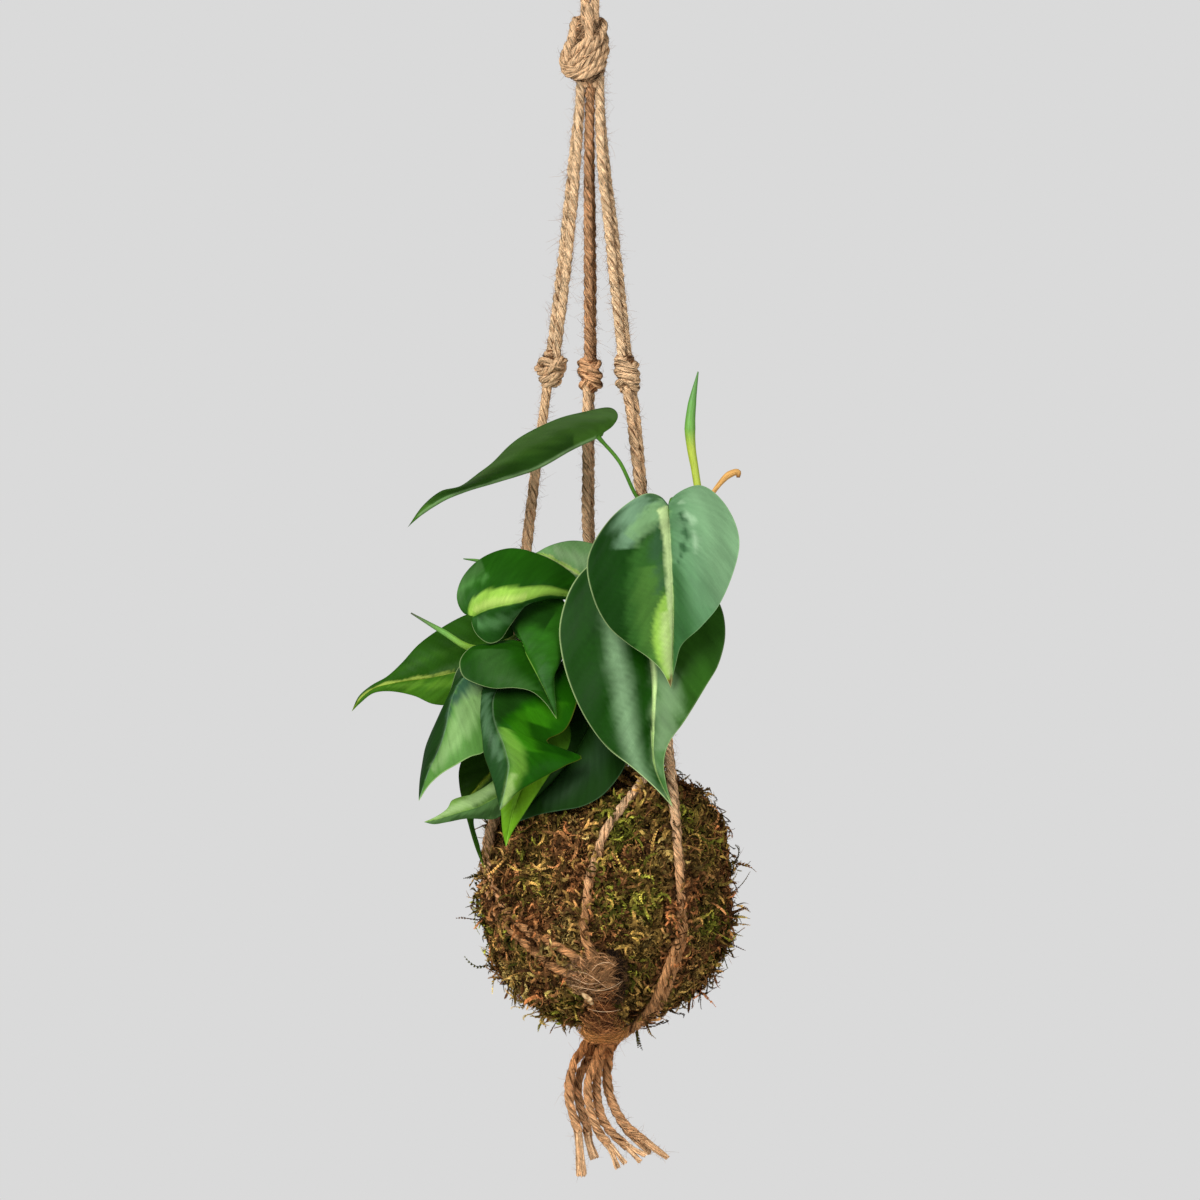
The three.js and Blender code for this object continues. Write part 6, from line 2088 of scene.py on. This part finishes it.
# ---------------------------------------------------------------- surroundings

LIT_PLACE = (0.0, -0.02, -0.38)  # in metres, where both lamps point


def area_light(name, at, size, power):
    lamp = bpy.data.lights.new(name, "AREA")
    lamp.shape = "RECTANGLE"
    lamp.size, lamp.size_y = size
    lamp.energy = power
    made = placed(name, lamp)
    made.location = at
    made.rotation_euler = (Vector(LIT_PLACE) - Vector(at)).to_track_quat("-Z", "Y").to_euler()


def floor():
    """A wide pale disc, well below the plant."""
    points = 96
    radius, height = 900.0, -760.0
    turn = full_turn(points)
    rim = np.stack([radius * np.cos(turn), radius * np.sin(turn), np.full(points, height)], axis=-1)
    shape = Shape()
    shape.add(rim, [np.arange(points)[None]], srgb(226, 226, 225))
    n = Nodes("floor")
    place = n.make("TexCoord").outputs["Object"]
    cloud = n.noise(place, 3.0, 2.0)
    colour = n.blend(cloud, srgb(222, 222, 221), srgb(230, 230, 229))
    made = placed("floor", shape.mesh("floor"))
    made.data.materials.append(n.shade(Base_Color=colour, Roughness=0.8))


def surroundings():
    """A pale even backdrop for the camera, and a dimmer room than it looks for everything else."""
    world = bpy.data.worlds.new("studio")
    world.use_nodes = True
    bpy.context.scene.world = world
    tree = world.node_tree
    seen = tree.nodes["Background"]
    seen.inputs["Color"].default_value = (*srgb(218, 218, 218), 1)
    room = tree.nodes.new("ShaderNodeBackground")
    room.inputs["Color"].default_value = (*srgb(226, 226, 228), 1)
    room.inputs["Strength"].default_value = ROOM
    path = tree.nodes.new("ShaderNodeLightPath")
    either = tree.nodes.new("ShaderNodeMixShader")
    tree.links.new(path.outputs["Is Camera Ray"], either.inputs[0])
    tree.links.new(room.outputs[0], either.inputs[1])
    tree.links.new(seen.outputs[0], either.inputs[2])
    tree.links.new(either.outputs[0], tree.nodes["World Output"].inputs["Surface"])
    area_light("key", (-1.3, -1.85, 0.9), (1.6, 1.8), KEY)
    area_light("fill", (1.6, -2.0, -0.3), (1.4, 1.8), FILL)
    bpy.context.scene.view_settings.view_transform = "Standard"
    floor()


surroundings()
